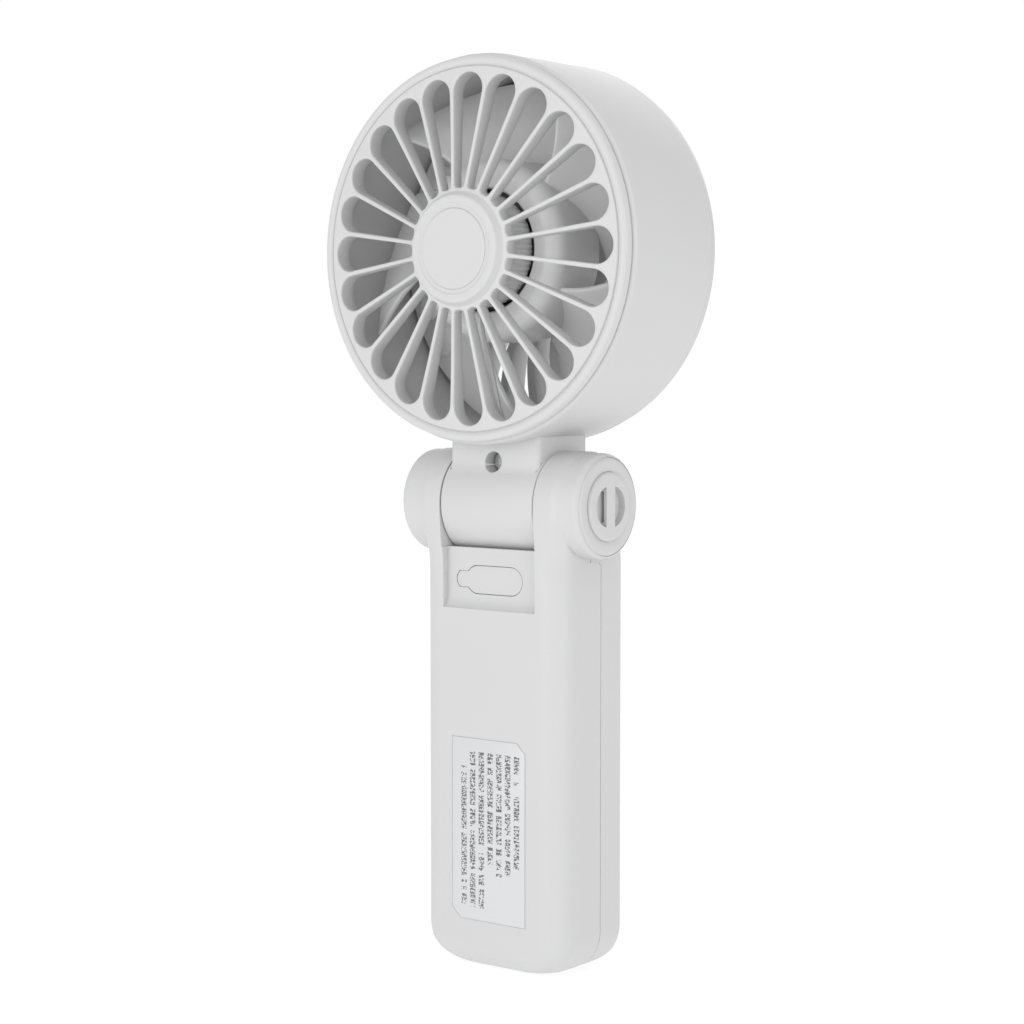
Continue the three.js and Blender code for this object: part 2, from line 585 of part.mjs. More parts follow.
// ---------------------------------------------------------------- motor
function statorShape() {
  const shape = new THREE.Shape();
  const poles = 6;
  for (let i = 0; i < poles; i += 1) {
    const middle = (2 * Math.PI * i) / poles;
    const corners = [
      [5.4, -24], [9.6, -9], [9.8, -23], [12, -24], [12.2, -8], [12.2, 8], [12, 24], [9.8, 23], [9.6, 9],
    ];
    for (const [r, degrees] of corners) {
      const angle = middle + rad(degrees);
      const point = [r * Math.cos(angle), r * Math.sin(angle)];
      if (i === 0 && degrees === -24 && r < 6) shape.moveTo(...point);
      else shape.lineTo(...point);
    }
  }
  shape.holes.push(new THREE.Path().absarc(0, 0, 4.2, 0, 2 * Math.PI, true));
  return shape;
}

function addMotor() {
  const baseProfile = [
    [0, -21.5], [11.4, -21.5], [11.4, -20], [3.9, -20], [3.9, -0.8], [2.7, -0.8], [2.7, -19.5], [0, -19.5],
  ];
  const holes = MOTOR_SCREWS.map((at) => rodY(1.05, -23, -18, 8).translate(at));
  addPart(head, "motor_base", cut(turned(baseProfile, 32), ...holes), "brass");
  MOTOR_SCREWS.forEach((at, i) => {
    const screw = union(rodY(1.5, -19.7, -18.6, 12), rodY(0.6, -22.5, -19, 8));
    addPart(head, `motor_screw_${i + 1}`, screw.translate(at), "steel");
  });
  addPart(head, "motor_board", ringY(4.3, 11.4, -17.2, -16.2, 32), "board");
  addPart(head, "motor_bearing_rear", ringY(1.3, 2.4, -18.6, -15.6, 16), "brass");
  addPart(head, "motor_bearing_front", ringY(1.3, 2.4, -4.4, -1.4, 16), "brass");
  addPart(head, "motor_stator", extrudeY(statorShape(), -7.6, -1.6, 0, 8), "copper");
  addPart(head, "rotor_magnet", ringY(12.6, 13.9, -8, -0.6, 32), "magnet");
  const can = [[1.3, 1.3], [15.2, 1.3], [15.2, -8.6], [14.2, -8.6], [14.2, 0.2], [1.3, 0.2]];
  addPart(head, "rotor_can", turned(can, 40), "steel");
  addPart(head, "motor_shaft", rodY(1, -18.9, 1.2, 16), "steel");
}

// The lead leaves the axle's side window, climbs the neck and follows a rib to the motor board.
function addHeadWire() {
  const drop = HINGE.z - HEAD_Z;
  const route = [
    [3.8, 0, drop + 0.6], [4.8, 0, drop + 3], [6, 0, drop + 8], [6, 0, -48], [6, -1.4, -44], [6, -4, -42.5],
    [6, -10.4, -42.5], [5.8, -12.5, -41.1], [5, -13.4, -38.2], [3.6, -15.2, -28],
    [1.8, -16.6, -17.5], [1.2, -15.9, -14],
    [0.9, -15.1, -11], [0.7, -15.1, -9.5],
  ];
  addPart(head, "motor_lead_head", wire(route, 0.8, 28), "blackWire");
}

addHandle();
addLabel();
addPortCover();
addButton();
addIndicator();
addElectronics();
addBattery();
addHandleWires();
addHinge();
addHeadShell();
addGrilles();
addImpeller();
addMotor();
addHeadWire();

export default fan;
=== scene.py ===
# %% [markdown]
# # A folding handheld fan
# The fan is a battery handle, a friction hinge and a round head with a cage on both sides.
# The imported model gives every moving body and its place. This file gives the finished surfaces,
# so it starts by loading the model.

# %% Load the frame
import json
from math import asin, atan2, cos, degrees, hypot, pi, radians, sin, sqrt, tan

import bpy
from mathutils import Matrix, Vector


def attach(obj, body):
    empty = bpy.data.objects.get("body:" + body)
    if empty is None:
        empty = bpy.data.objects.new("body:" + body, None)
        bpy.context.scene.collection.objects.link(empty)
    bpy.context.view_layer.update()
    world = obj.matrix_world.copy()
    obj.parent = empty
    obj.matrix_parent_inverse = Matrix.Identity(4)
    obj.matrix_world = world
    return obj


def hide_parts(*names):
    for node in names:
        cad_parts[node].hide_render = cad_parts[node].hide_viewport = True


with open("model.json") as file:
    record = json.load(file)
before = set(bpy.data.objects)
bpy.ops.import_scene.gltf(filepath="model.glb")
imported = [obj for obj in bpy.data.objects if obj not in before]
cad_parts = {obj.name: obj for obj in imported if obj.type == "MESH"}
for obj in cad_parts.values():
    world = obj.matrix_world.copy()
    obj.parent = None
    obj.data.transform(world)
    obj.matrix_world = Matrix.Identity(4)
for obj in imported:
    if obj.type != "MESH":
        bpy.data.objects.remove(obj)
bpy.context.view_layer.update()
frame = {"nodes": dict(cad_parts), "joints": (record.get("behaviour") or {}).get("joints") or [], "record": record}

MM = 0.001

# %% [markdown]
# ## Camera
# A product picture is taken from far away with a long lens, so that a tall thin thing keeps its
# proportions. The camera looks at the back of the fan from its right, a little above the middle.

# %% Camera
AIM = Vector((-1.9, -1.9, 108.7)) * MM
AZIMUTH, ELEVATION, DISTANCE = radians(37.62), radians(3.66), 0.5576
SENSOR_WIDTH, LENS = 36.0, 82.2
level = cos(ELEVATION)
TOWARDS_CAMERA = Vector((sin(AZIMUTH) * level, -cos(AZIMUTH) * level, sin(ELEVATION)))

camera = bpy.data.objects.new("camera", bpy.data.cameras.new("camera"))
camera.data.sensor_width = SENSOR_WIDTH
camera.data.lens = LENS
camera.location = AIM + TOWARDS_CAMERA * DISTANCE
camera.rotation_euler = (-TOWARDS_CAMERA).to_track_quat("-Z", "Y").to_euler()
bpy.context.scene.collection.objects.link(camera)
bpy.context.scene.camera = camera
print("camera at", [round(v, 3) for v in camera.location])

# %% [markdown]
# ## Sizes
# The hinge axis and the fan axis come from the model. All sizes below are in millimetres, measured
# from the fan axis for the head, from the hinge axis for the hinge and from the foot for the handle.

# %% Places read from the model
joints = {joint["name"]: joint for joint in frame["joints"]}
HINGE = Vector(joints["head_fold"]["pos_m"])
FAN = Vector(joints["impeller_spin"]["pos_m"])
HINGE_Y, HINGE_Z = HINGE.y / MM, HINGE.z / MM
print("hinge", [round(v, 4) for v in HINGE], "fan axis", [round(v, 4) for v in FAN])

# %% [markdown]
# ## Helpers for turned mouldings
# Most of this fan is round: the drum, the cages, the hinge knuckles, the motor and its caps. A
# round part is modelled as a lathe would cut it: draw half of its section as a chain of points,
# then spin the chain once round the axis. An edit-mode operator acts on all that is selected,
# so each helper starts by deselecting everything.

# %% Select one piece
def deselect():
    for thing in bpy.context.selected_objects:
        thing.select_set(False)


def activate(piece):
    deselect()
    piece.select_set(True)
    bpy.context.view_layer.objects.active = piece


def edit_all(piece):
    """Goes into edit mode on a piece, with all of its mesh selected."""
    activate(piece)
    bpy.ops.object.mode_set(mode="EDIT")
    bpy.ops.mesh.select_all(action="SELECT")


def join_all(pieces):
    """Joins pieces into the last of them, without a Boolean."""
    deselect()
    for piece in pieces:
        piece.select_set(True)
    bpy.context.view_layer.objects.active = pieces[-1]
    bpy.ops.object.join()
    return pieces[-1]


# %% [markdown]
# A section is a list of points, with round stretches written as arcs. An edge chain is the mesh
# form of such a list: one vertex, extruded from point to point.

# %% Draw a chain of points
def arc(centre, radius, start, end, steps=6):
    """Points on a circle, with angles in degrees. Both ends are included."""
    angles = [radians(start + (end - start) * i / steps) for i in range(steps + 1)]
    return [(centre[0] + radius * cos(a), centre[1] + radius * sin(a)) for a in angles]


def chain(name, points):
    """A new object whose mesh is a chain of edges through the points. It is left in edit mode."""
    deselect()
    bpy.ops.mesh.primitive_plane_add(size=0.001, location=points[0])
    piece = bpy.context.object
    piece.name = name
    bpy.ops.object.transform_apply(location=True)
    bpy.ops.object.mode_set(mode="EDIT")
    bpy.ops.mesh.select_mode(type="VERT")
    bpy.ops.mesh.select_all(action="SELECT")
    bpy.ops.mesh.merge(type="CENTER")
    for before, after in zip(points, points[1:]):
        step = Vector(after) - Vector(before)
        bpy.ops.mesh.extrude_vertices_move(TRANSFORM_OT_translate={"value": step})
    return piece


# %% [markdown]
# A full turn leaves a double seam, so what touches is welded and all faces are turned outwards.
# Shading is smooth, except across edges where a real mould has a corner.

# %% Spin, weld and shade
def tidy_mesh():
    """In edit mode: weld what touches, and turn every face outwards."""
    bpy.ops.mesh.select_all(action="SELECT")
    bpy.ops.mesh.remove_doubles(threshold=2e-6)
    bpy.ops.mesh.normals_make_consistent(inside=False)
    bpy.ops.object.mode_set(mode="OBJECT")


def lathe(name, outline, origin, along="Y", steps=96, is_open=False):
    """Spins an outline of (radius, distance along the axis) pairs about an axis through origin."""
    closed = outline if outline[0][0] == 0 or is_open else [*outline, outline[0]]
    points = [(a, 0, r) if along == "X" else (r, a, 0) for r, a in closed]
    piece = chain(name, [origin + Vector(point) * MM for point in points])
    axis = (1, 0, 0) if along == "X" else (0, 1, 0)
    bpy.ops.mesh.select_all(action="SELECT")
    bpy.ops.mesh.spin(steps=steps, angle=2 * pi, center=origin, axis=axis)
    tidy_mesh()
    return piece


def smooth(piece, angle=28):
    """Smooth shading with sharp edges kept where the surface turns more than the angle."""
    activate(piece)
    bpy.ops.object.shade_smooth_by_angle(angle=radians(angle))
    print(piece.name, len(piece.data.polygons), "faces")
    return piece


# %% [markdown]
# ## Helpers for cutting and joining
# Mouldings made in one shot, such as a drum with its neck, are joined from simple solids with the
# Boolean modifier. It also cuts pockets and slots. The manifold solver keeps a closed solid closed.

# %% Modifiers and Booleans
def apply_modifier(piece, kind, **settings):
    activate(piece)
    modifier = piece.modifiers.new(kind.title(), kind)
    for key, value in settings.items():
        setattr(modifier, key, value)
    bpy.ops.object.modifier_apply(modifier=modifier.name)


def combine(piece, operation, *tools):
    """Joins, cuts or intersects a solid with others, and removes the others."""
    for tool in tools:
        apply_modifier(piece, "BOOLEAN", object=tool, operation=operation, solver="MANIFOLD")
        bpy.data.objects.remove(tool)
    return piece


# %% [markdown]
# Knuckles, caps and cages come in facing pairs, so one is drawn and mirrored. A mirrored mesh is
# inside out until its normals are flipped.

# %% Copies and mirror images
def copy_of(piece, name):
    twin = piece.copy()
    twin.data = piece.data.copy()
    twin.name = name
    bpy.context.scene.collection.objects.link(twin)
    return twin


def mirrored(piece, name, axis, about):
    """A copy mirrored across the plane where its coordinate on the axis (0, 1 or 2) is about."""
    twin = copy_of(piece, name)
    for vertex in twin.data.vertices:
        vertex.co[axis] = 2 * about - vertex.co[axis]
    twin.data.flip_normals()
    return twin


# %% [markdown]
# What isn't round is mostly a flat outline pushed through: the neck, the recesses, the label and
# the pill-shaped charging port. A cube does for plain cutters.

# %% Blocks and prisms
def block(name, low, high):
    """A plain box between two corners, used as a cutter."""
    deselect()
    low, high = Vector(low) * MM, Vector(high) * MM
    bpy.ops.mesh.primitive_cube_add(size=1, location=(low + high) / 2)
    piece = bpy.context.object
    piece.name = name
    piece.scale = high - low
    bpy.ops.object.transform_apply(location=True, scale=True)
    return piece


def prism(name, outline, direction, start, end, origin=Vector()):
    """An outline pushed along X or Y. The outline is (y, z) for X and (x, z) for Y."""
    is_x = direction == "X"
    points = [(start, a, b) if is_x else (a, start, b) for a, b in [*outline, outline[0]]]
    push = Vector((end - start, 0, 0) if is_x else (0, end - start, 0)) * MM
    piece = chain(name, [origin + Vector(point) * MM for point in points])
    bpy.ops.mesh.select_all(action="SELECT")
    bpy.ops.mesh.remove_doubles(threshold=1e-6)
    bpy.ops.mesh.edge_face_add()
    bpy.ops.mesh.extrude_region_move(TRANSFORM_OT_translate={"value": push})
    tidy_mesh()
    return piece


def pill(centre, half_length, radius, steps=10):
    """A stadium outline in (x, z)."""
    x, z = centre
    reach = half_length - radius
    return arc((x + reach, z), radius, -90, 90, steps) + arc((x - reach, z), radius, 90, 270, steps)


# %% [markdown]
# A moulded edge is never quite sharp, and the highlight along it makes plastic look real. Only some
# edges are rounded, so a test on the two ends of an edge picks them.

# %% Round chosen edges
def bevel_edges(piece, is_chosen, width, segments=4):
    """Rounds the edges whose two end points together pass a test."""
    activate(piece)
    bpy.ops.object.mode_set(mode="EDIT")
    bpy.ops.mesh.select_all(action="DESELECT")
    bpy.ops.object.mode_set(mode="OBJECT")
    vertices = piece.data.vertices
    for edge in piece.data.edges:
        a, b = (vertices[i].co for i in edge.vertices)
        edge.select = is_chosen(a, b)
    bpy.ops.object.mode_set(mode="EDIT")
    bpy.ops.mesh.select_mode(type="EDGE")
    bpy.ops.mesh.bevel(offset=width * MM, segments=segments, profile=0.5, affect="EDGES")
    bpy.ops.object.mode_set(mode="OBJECT")


# %% [markdown]
# ## A grid bent into shape
# A cage with drop-shaped slots, a twisted blade and the handle's body have no straight profile, so
# each starts as a flat grid primitive. A formula then puts each of its points in place, row by row.

# %% Shape a grid by a formula
def shaped_grid(name, columns, rows, place):
    """A grid whose point (i, j) is moved to place(i, j). There are columns x rows faces."""
    deselect()
    bpy.ops.mesh.primitive_grid_add(x_subdivisions=columns, y_subdivisions=rows, size=2)
    piece = bpy.context.object
    piece.name = name
    for vertex in piece.data.vertices:
        i = round((vertex.co.x + 1) / 2 * columns)
        j = round((vertex.co.y + 1) / 2 * rows)
        vertex.co = place(i, j)
    return piece


# %% [markdown]
# ## The head's drum, neck and barrel
# The drum is a plain ring, 90 mm across. Under it a flat neck runs down into the hinge barrel. All
# three are one moulding, so they are joined. The drum's edges are rounded by a millimetre, and the
# neck meets the barrel in a soft hollow, which is drawn in its side profile.

# %% Drum ring
DRUM_R, DRUM_IN, DRUM_REAR, DRUM_FRONT, DRUM_EDGE = 45.0, 42.6, -16.4, 14.9, 1.2

drum_outline = [
    *arc((DRUM_R - DRUM_EDGE, DRUM_REAR + DRUM_EDGE), DRUM_EDGE, -80, 0, 5),
    *arc((DRUM_R - DRUM_EDGE, DRUM_FRONT - DRUM_EDGE), DRUM_EDGE, 0, 80, 5),
    (DRUM_IN, DRUM_FRONT - 0.05),
    (DRUM_IN, DRUM_REAR + 0.05),
]
head_shell = lathe("head_shell_skin", drum_outline, FAN, steps=192)
print("drum", 2 * DRUM_R, "mm across and", round(DRUM_FRONT - DRUM_REAR, 1), "mm deep")

# %% [markdown]
# The neck's side profile leaves the barrel through a hollow of 6 mm radius and runs up into the
# drum. Its upright corners are bevelled before it is joined.

# %% Neck and barrel
BARREL_R, BARREL_HALF, BARREL_EDGE = 12.7, 13.6, 0.4
NECK_HALF, NECK_BACK, NECK_FRONT, NECK_TOP = 13.2, -9.5, 9.9, 17.0
NECK_ROUND, NECK_ROUND_FROM = 1.4, 7.0
IN_BARREL = 0.03  # how far the hollow starts inside the barrel's surface


def hollow_from(flat_y, blend=6.0):
    """Side profile from the barrel up to the flat face of the neck at flat_y, through a hollow."""
    side = -1 if flat_y < 0 else 1
    reach = BARREL_R - IN_BARREL + blend
    centre_y = flat_y + side * blend
    centre_z = sqrt(reach**2 - centre_y**2)
    on_circle = degrees(atan2(centre_z, centre_y)) + 180
    return arc((centre_y, centre_z), blend, on_circle, 180 if side > 0 else 360, 8)


neck_outline = [
    (6, 0),
    (-6, 0),
    *hollow_from(NECK_BACK),
    (NECK_BACK, NECK_TOP),
    (NECK_FRONT, NECK_TOP),
    *reversed(hollow_from(NECK_FRONT)),
]
neck = prism("neck", neck_outline, "X", -NECK_HALF, NECK_HALF, HINGE)


def on_neck_corner(a, b):
    low = min(a.z, b.z) - HINGE.z
    is_on_side = a.x * b.x > (NECK_HALF * MM - 1e-6) ** 2
    return is_on_side and NECK_ROUND_FROM * MM < low < (NECK_TOP - 1) * MM


bevel_edges(neck, on_neck_corner, NECK_ROUND)
inside_drum = lathe("inside_drum", [(0, -30), (43.6, -30), (43.6, 30), (0, 30)], FAN, steps=192)
combine(neck, "DIFFERENCE", inside_drum)
barrel_outline = [
    (0, -BARREL_HALF), *arc((BARREL_R - BARREL_EDGE, -BARREL_HALF + BARREL_EDGE), BARREL_EDGE, -90, 0, 3),
    *arc((BARREL_R - BARREL_EDGE, BARREL_HALF - BARREL_EDGE), BARREL_EDGE, 0, 90, 3), (0, BARREL_HALF),
]
barrel = lathe("barrel", barrel_outline, HINGE, "X", 96)
combine(head_shell, "UNION", neck, barrel)

# %% [markdown]
# The neck has a screw well at the back, the barrel is bored for the axle, and a way inside the neck
# leads the motor's wires up to the drum.

# %% Bores in the head
SCREW_UP, SCREW_WELL_R = 10, 2.5
fan_z = FAN.z / MM

well_outline = [(0, -20), (SCREW_WELL_R, -20), (SCREW_WELL_R, -3.4), (0, -3.4)]
screw_well = lathe("well", well_outline, HINGE + Vector((0, 0, SCREW_UP)) * MM, "Y", 40)
bore_outline = [(0, -20), (9.4, -20), (9.4, -11.9), (5, -11.9), (5, 20), (0, 20)]
axle_bore = lathe("bore", bore_outline, HINGE, "X", 40)
wire_way = block("way", (2.8, -4.9, HINGE_Z), (9.5, 1.1, fan_z - 40))
wire_channel = block("channel", (4.6, -16.5, fan_z - 43.7), (7.4, 1.1, fan_z - 40))
combine(head_shell, "DIFFERENCE", screw_well, axle_bore, wire_way, wire_channel)
smooth(head_shell)

# %% [markdown]
# ## The cages
# Each cage has 24 drop-shaped slots between ribs a millimetre wide, four deep and round on the outer
# edge. One sector of 15 degrees is a grid that wraps around one slot: over the face, round the edge,
# down the wall and back along the inner face. Copies are spun round the axis and welded.

# %% Sizes of a sector
SLOTS = 24
HALF_PITCH = pi / SLOTS
RIB_HALF_IN, RIB_HALF_OUT = 0.44, 0.60
SLOT_IN, SLOT_OUT, SLOT_CORNER = 13.9, 40.5, 0.55
SECTOR_IN, SECTOR_OUT = 13.2, 41.7
EDGE_ROUND = 0.42
INNER_ROUND = EDGE_ROUND * 0.6
INNER_ARC, OUT_ARC = 4, 5  # steps along the two round ends of the border
FACE_RIM, FACE_RISE = -18.75, 4.0
INNER_RIM, INNER_RIM_R, INNER_RISE, INNER_RUN = -14.4, 40.6, 5.4, 27.3


def face_y(r):
    """Outer face of the cage: a shallow dome behind the plane of the hinge axis."""
    inwards = max(0.0, SECTOR_OUT - r) / (SECTOR_OUT - SECTOR_IN)
    return FACE_RIM - FACE_RISE * inwards**1.15


def inner_y(r, deeper=0.0):
    """Inner face of the ribs. The front cage's ribs get deeper away from the boss."""
    return INNER_RIM - INNER_RISE * (INNER_RIM_R - r) / INNER_RUN + deeper * min(1, (r - SECTOR_IN) / 12)


def half_width(r, wider):
    """Half the width of a slot at radius r, between ribs that are wider on each side."""
    rib = RIB_HALF_IN + (RIB_HALF_OUT - RIB_HALF_IN) * (r - SLOT_IN) / (SLOT_OUT - SLOT_IN) + wider
    return r * tan(HALF_PITCH) - rib / cos(HALF_PITCH)


print("slot", round(2 * half_width(SLOT_OUT - 5, 0), 1), "mm wide near its tip")

# %% [markdown]
# The slot's outline runs from its narrow inner end along the rib to a round tip. Each of its points
# has a partner on the sector's border, and the grid's rows run between the two.

# %% Outline of a slot
def polar(r, angle):
    return r * cos(angle), r * sin(angle)


def half_slot(wider):
    """Half of the slot's outline from inner end to tip, as (point, normal, point on the border)."""
    edge_steps, tip_steps = 9, 12
    tip_r = half_width(SLOT_OUT, wider) / (1 + sin(HALF_PITCH))
    tip_centre = SLOT_OUT - tip_r
    samples = []
    for k in range(INNER_ARC + 1):
        t = k / INNER_ARC
        turn = pi - (pi / 2 - HALF_PITCH) * t
        width = half_width(SLOT_IN, wider * 0.5) * 0.98
        point = (SLOT_IN + SLOT_CORNER * (1 - cos(t * pi / 2)), width * sin(t * pi / 2))
        samples.append((point, polar(1, turn), polar(SECTOR_IN, HALF_PITCH * t)))
    edge_normal = (-sin(HALF_PITCH), cos(HALF_PITCH))
    edge_start = SLOT_IN + SLOT_CORNER
    edge_end = tip_centre - tip_r * sin(HALF_PITCH)
    for k in range(1, edge_steps):
        r = edge_start + (edge_end - edge_start) * k / edge_steps
        point = (r, half_width(r, wider * min(1, 0.5 + k / edge_steps)))
        samples.append((point, edge_normal, polar(r / cos(HALF_PITCH), HALF_PITCH)))
    corner_step = tip_steps - OUT_ARC
    first_r = hypot(*samples[-1][2])
    for k in range(tip_steps + 1):
        turn = (pi / 2 + HALF_PITCH) * (1 - k / tip_steps)
        x, z = polar(tip_r, turn)
        if k < corner_step:
            border = polar(first_r + (SECTOR_OUT - first_r) * (k + 1) / (corner_step + 1), HALF_PITCH)
        else:
            border = polar(SECTOR_OUT, HALF_PITCH * (tip_steps - k) / OUT_ARC)
        samples.append(((tip_centre + x, z), polar(1, turn), border))
    return samples


def slot_ring(wider):
    """The whole outline: the half and its mirror image."""
    half = half_slot(wider)
    other = [((p[0], -p[1]), (n[0], -n[1]), (b[0], -b[1])) for p, n, b in half]
    return [*half, *reversed(other[:-1])]


# %% [markdown]
# The rows of the grid follow that way round. A lean swirls the ribs: the further out a point is, the
# more it is turned about the fan axis.

# %% Rows of a sector
EDGE_STEPS, INNER_STEPS = 4, 3
ROWS = [
    *(("face", share) for share in (0.0, 0.45, 1.0)),
    *(("edge", 90 * k / EDGE_STEPS) for k in range(1, EDGE_STEPS + 1)),
    *(("wall", share) for share in (0.35, 0.7)),
    *(("inner edge", 90 - 90 * k / INNER_STEPS) for k in range(INNER_STEPS + 1)),
    *(("inner face", share) for share in (0.5, 0.0)),
]


def across_sector(sample, kind, value):
    """The (x, z) of a point in a row: between border and slot, or round the slot's edge."""
    (px, pz), (nx, nz), (bx, bz) = sample
    if kind in ("face", "inner face"):
        return bx + (px + nx * EDGE_ROUND - bx) * value, bz + (pz + nz * EDGE_ROUND - bz) * value
    if kind == "wall":
        return px, pz
    away = (EDGE_ROUND if kind == "edge" else INNER_ROUND) * (1 - sin(radians(value)))
    return px + nx * away, pz + nz * away


def sector_point(sample, row, lean, deeper):
    kind, value = ROWS[row]
    x, z = across_sector(sample, kind, value)
    r = hypot(x, z)
    top, bottom = face_y(r), inner_y(r, deeper)
    if kind == "wall":
        high, low = top + EDGE_ROUND, bottom - INNER_ROUND
        y = high + (low - high) * value
    elif kind in ("face", "inner face"):
        y = top if kind == "face" else bottom
    else:
        dip = 1 - cos(radians(value))
        y = top + EDGE_ROUND * dip if kind == "edge" else bottom - INNER_ROUND * dip
    turn = lean * max(0.0, r - SECTOR_IN) / (SECTOR_OUT - SECTOR_IN)
    return Vector((x * cos(turn) - z * sin(turn), y, x * sin(turn) + z * cos(turn)))


# %% A cage of sectors
def spin_copies(count):
    """In edit mode: what is selected is repeated all the way round the fan axis."""
    turn = -2 * pi * (count - 1) / count
    bpy.ops.mesh.spin(steps=count - 1, dupli=True, angle=turn, center=FAN, axis=(0, 1, 0))


def cage(name, lean_degrees, wider, deeper):
    """All the sectors of one cage, drawn for the rear of the head."""
    ring = slot_ring(wider)
    lean = radians(lean_degrees)
    piece = shaped_grid(
        name, len(ring), len(ROWS) - 1,
        lambda i, j: FAN + sector_point(ring[i % len(ring)], j, lean, deeper) * MM,
    )
    edit_all(piece)
    spin_copies(SLOTS)
    bpy.ops.mesh.select_all(action="SELECT")
    bpy.ops.mesh.remove_doubles(threshold=5e-6)
    bpy.ops.object.mode_set(mode="OBJECT")
    return piece


# %% [markdown]
# ## Rim and boss of a cage
# Outside the slots runs a flat band, then a fine step, then a round bead that ends at the seam with
# the drum. In the middle is a boss with a wide round shoulder and a thin groove around its flat
# button. Behind the rear boss hangs the motor cup, whose wall has fine ribs along it.

# %% Rim and boss outlines, as (radius, y)
def rim_outline(deeper):
    return [
        (SECTOR_OUT, face_y(SECTOR_OUT)), (41.84, -18.54), (41.94, -18.38), (42.04, -18.38),
        *arc((43.05, -17.75), 1.25, 218, 330, 9),
        (44.3, -16.95), (44.05, -16.5), (42.4, -16.5), (42.4, INNER_RIM),
        (SECTOR_OUT, inner_y(SECTOR_OUT, deeper)),
    ]


GROOVE_R, CUP_R = 9.3, 11.9
inner_corner = (SECTOR_IN, inner_y(SECTOR_IN))
boss_face = [
    (0, -23.4), (GROOVE_R, -23.4), (GROOVE_R, -24.38), (10.2, -24.38), (10.5, -24.6),
    *arc((11.6, -23.7), 0.9, -90, -20, 8), (SECTOR_IN, face_y(SECTOR_IN)),
]
motor_cup = [
    (0, -21.9), (CUP_R, -21.9), (CUP_R, -12.0), (12.1, -11.8), (13.0, -11.8), (SECTOR_IN, -12.0),
    (SECTOR_IN, -14.2), (SECTOR_IN, -16.0), (SECTOR_IN, -17.5), inner_corner,
]
plain_back = [(0, -21.9), (CUP_R, -21.9), (CUP_R, -20.1), (12.1, inner_corner[1]), inner_corner]

# %% Both cages with their rim and boss
FRONT_LEAN, FRONT_WIDER, FRONT_DEEPER = 21, 0.65, 3.2


def cage_with_rim(name, lean, wider, deeper, boss_back):
    piece = cage(name, lean, wider, deeper)
    parts = [
        lathe("rim", rim_outline(deeper), FAN, steps=SLOTS * 2 * OUT_ARC, is_open=True),
        lathe("boss", boss_face, FAN, steps=SLOTS * 2 * INNER_ARC),
        lathe("boss_back", boss_back, FAN, steps=SLOTS * 2 * INNER_ARC),
    ]
    join_all([*parts, piece])
    edit_all(piece)
    bpy.ops.mesh.remove_doubles(threshold=2e-5)
    tidy_mesh()
    return piece


rear_grille = cage_with_rim("rear_grille_skin", 0, 0, 0, motor_cup)
front_drawn = cage_with_rim("front_cage", FRONT_LEAN, FRONT_WIDER, FRONT_DEEPER, plain_back)
print("ribs of the front cage are", 2 * FRONT_WIDER, "mm wider")

# %% Fine ribs along the motor cup
RIB_EVERY, RIB_SHARE = 3, 0.02
for vertex in rear_grille.data.vertices:
    out = (vertex.co - FAN) / MM
    is_cup_wall = -17.6 < out.y < -11.9 and abs(hypot(out.x, out.z) - SECTOR_IN) < 0.1
    step = round(atan2(out.z, out.x) * SLOTS * INNER_ARC / pi)
    if is_cup_wall and step % RIB_EVERY == 0:
        vertex.co -= Vector((out.x, 0, out.z)) * MM * RIB_SHARE


# %% The front cage is turned round to the air-out side
MID_Y = FAN.y + (DRUM_REAR + DRUM_FRONT) / 2 * MM
front_grille = mirrored(front_drawn, "front_grille_skin", 1, MID_Y)
bpy.data.objects.remove(front_drawn)
smooth(rear_grille, 32)
smooth(front_grille, 32)

# %% Flat buttons of the two bosses
disc_outline = [
    (0, -24.62), (8.6, -24.62), *arc((GROOVE_R - 0.33, -24.32), 0.3, -90, 0, 5),
    (GROOVE_R - 0.03, -23.6), (0, -23.6),
]
rear_boss = smooth(lathe("rear_boss_skin", disc_outline, FAN, steps=144))
front_boss = smooth(mirrored(rear_boss, "front_boss_skin", 1, MID_Y))

# %% [markdown]
# ## The impeller
# Five twisted blades stand on a hub with a wide round shoulder. Each blade is a sheet about 1.3 mm
# thick whose rear edge leads, and it deepens towards the front as it goes round. The sheet is a
# bent grid, thickened with Solidify and rounded with Bevel, and four copies are spun round the hub.

# %% Blades
BLADES, BLADE_HUB, BLADE_TIP = 5, 20.4, 40.4
BLADE_REAR, BLADE_FRONT, BLADE_THICK = -9.1, 7.7, 1.3
BLADE_START, BLADE_SWEEP, BLADE_TWIST = 46, 19, 52  # degrees
CAMBER, SAG = 1.4, 0.315


def blade_point(out, across):
    """out goes from 0 at the hub to 1 at the tip, and across from 0 at the rear edge to 1."""
    r = BLADE_HUB + (BLADE_TIP - BLADE_HUB) * out
    flat_y = BLADE_REAR + (BLADE_FRONT - BLADE_REAR) * across
    y = flat_y + CAMBER * sin(pi * across) + SAG * (1 - (2 * out - 1) ** 4) * (1 - across)
    angle = radians(BLADE_START + BLADE_SWEEP * out - BLADE_TWIST * across)
    return Vector((r * cos(angle), y, r * sin(angle)))


blade_columns, blade_rows = 14, 26
blades = shaped_grid(
    "impeller_skin", blade_columns, blade_rows,
    lambda i, j: FAN + blade_point(i / blade_columns, j / blade_rows) * MM,
)
apply_modifier(blades, "SOLIDIFY", thickness=BLADE_THICK * MM, offset=0)
corner = {"width": 0.45 * MM, "segments": 3, "limit_method": "ANGLE", "angle_limit": radians(50)}
apply_modifier(blades, "BEVEL", **corner)
edit_all(blades)
spin_copies(BLADES)
tidy_mesh()

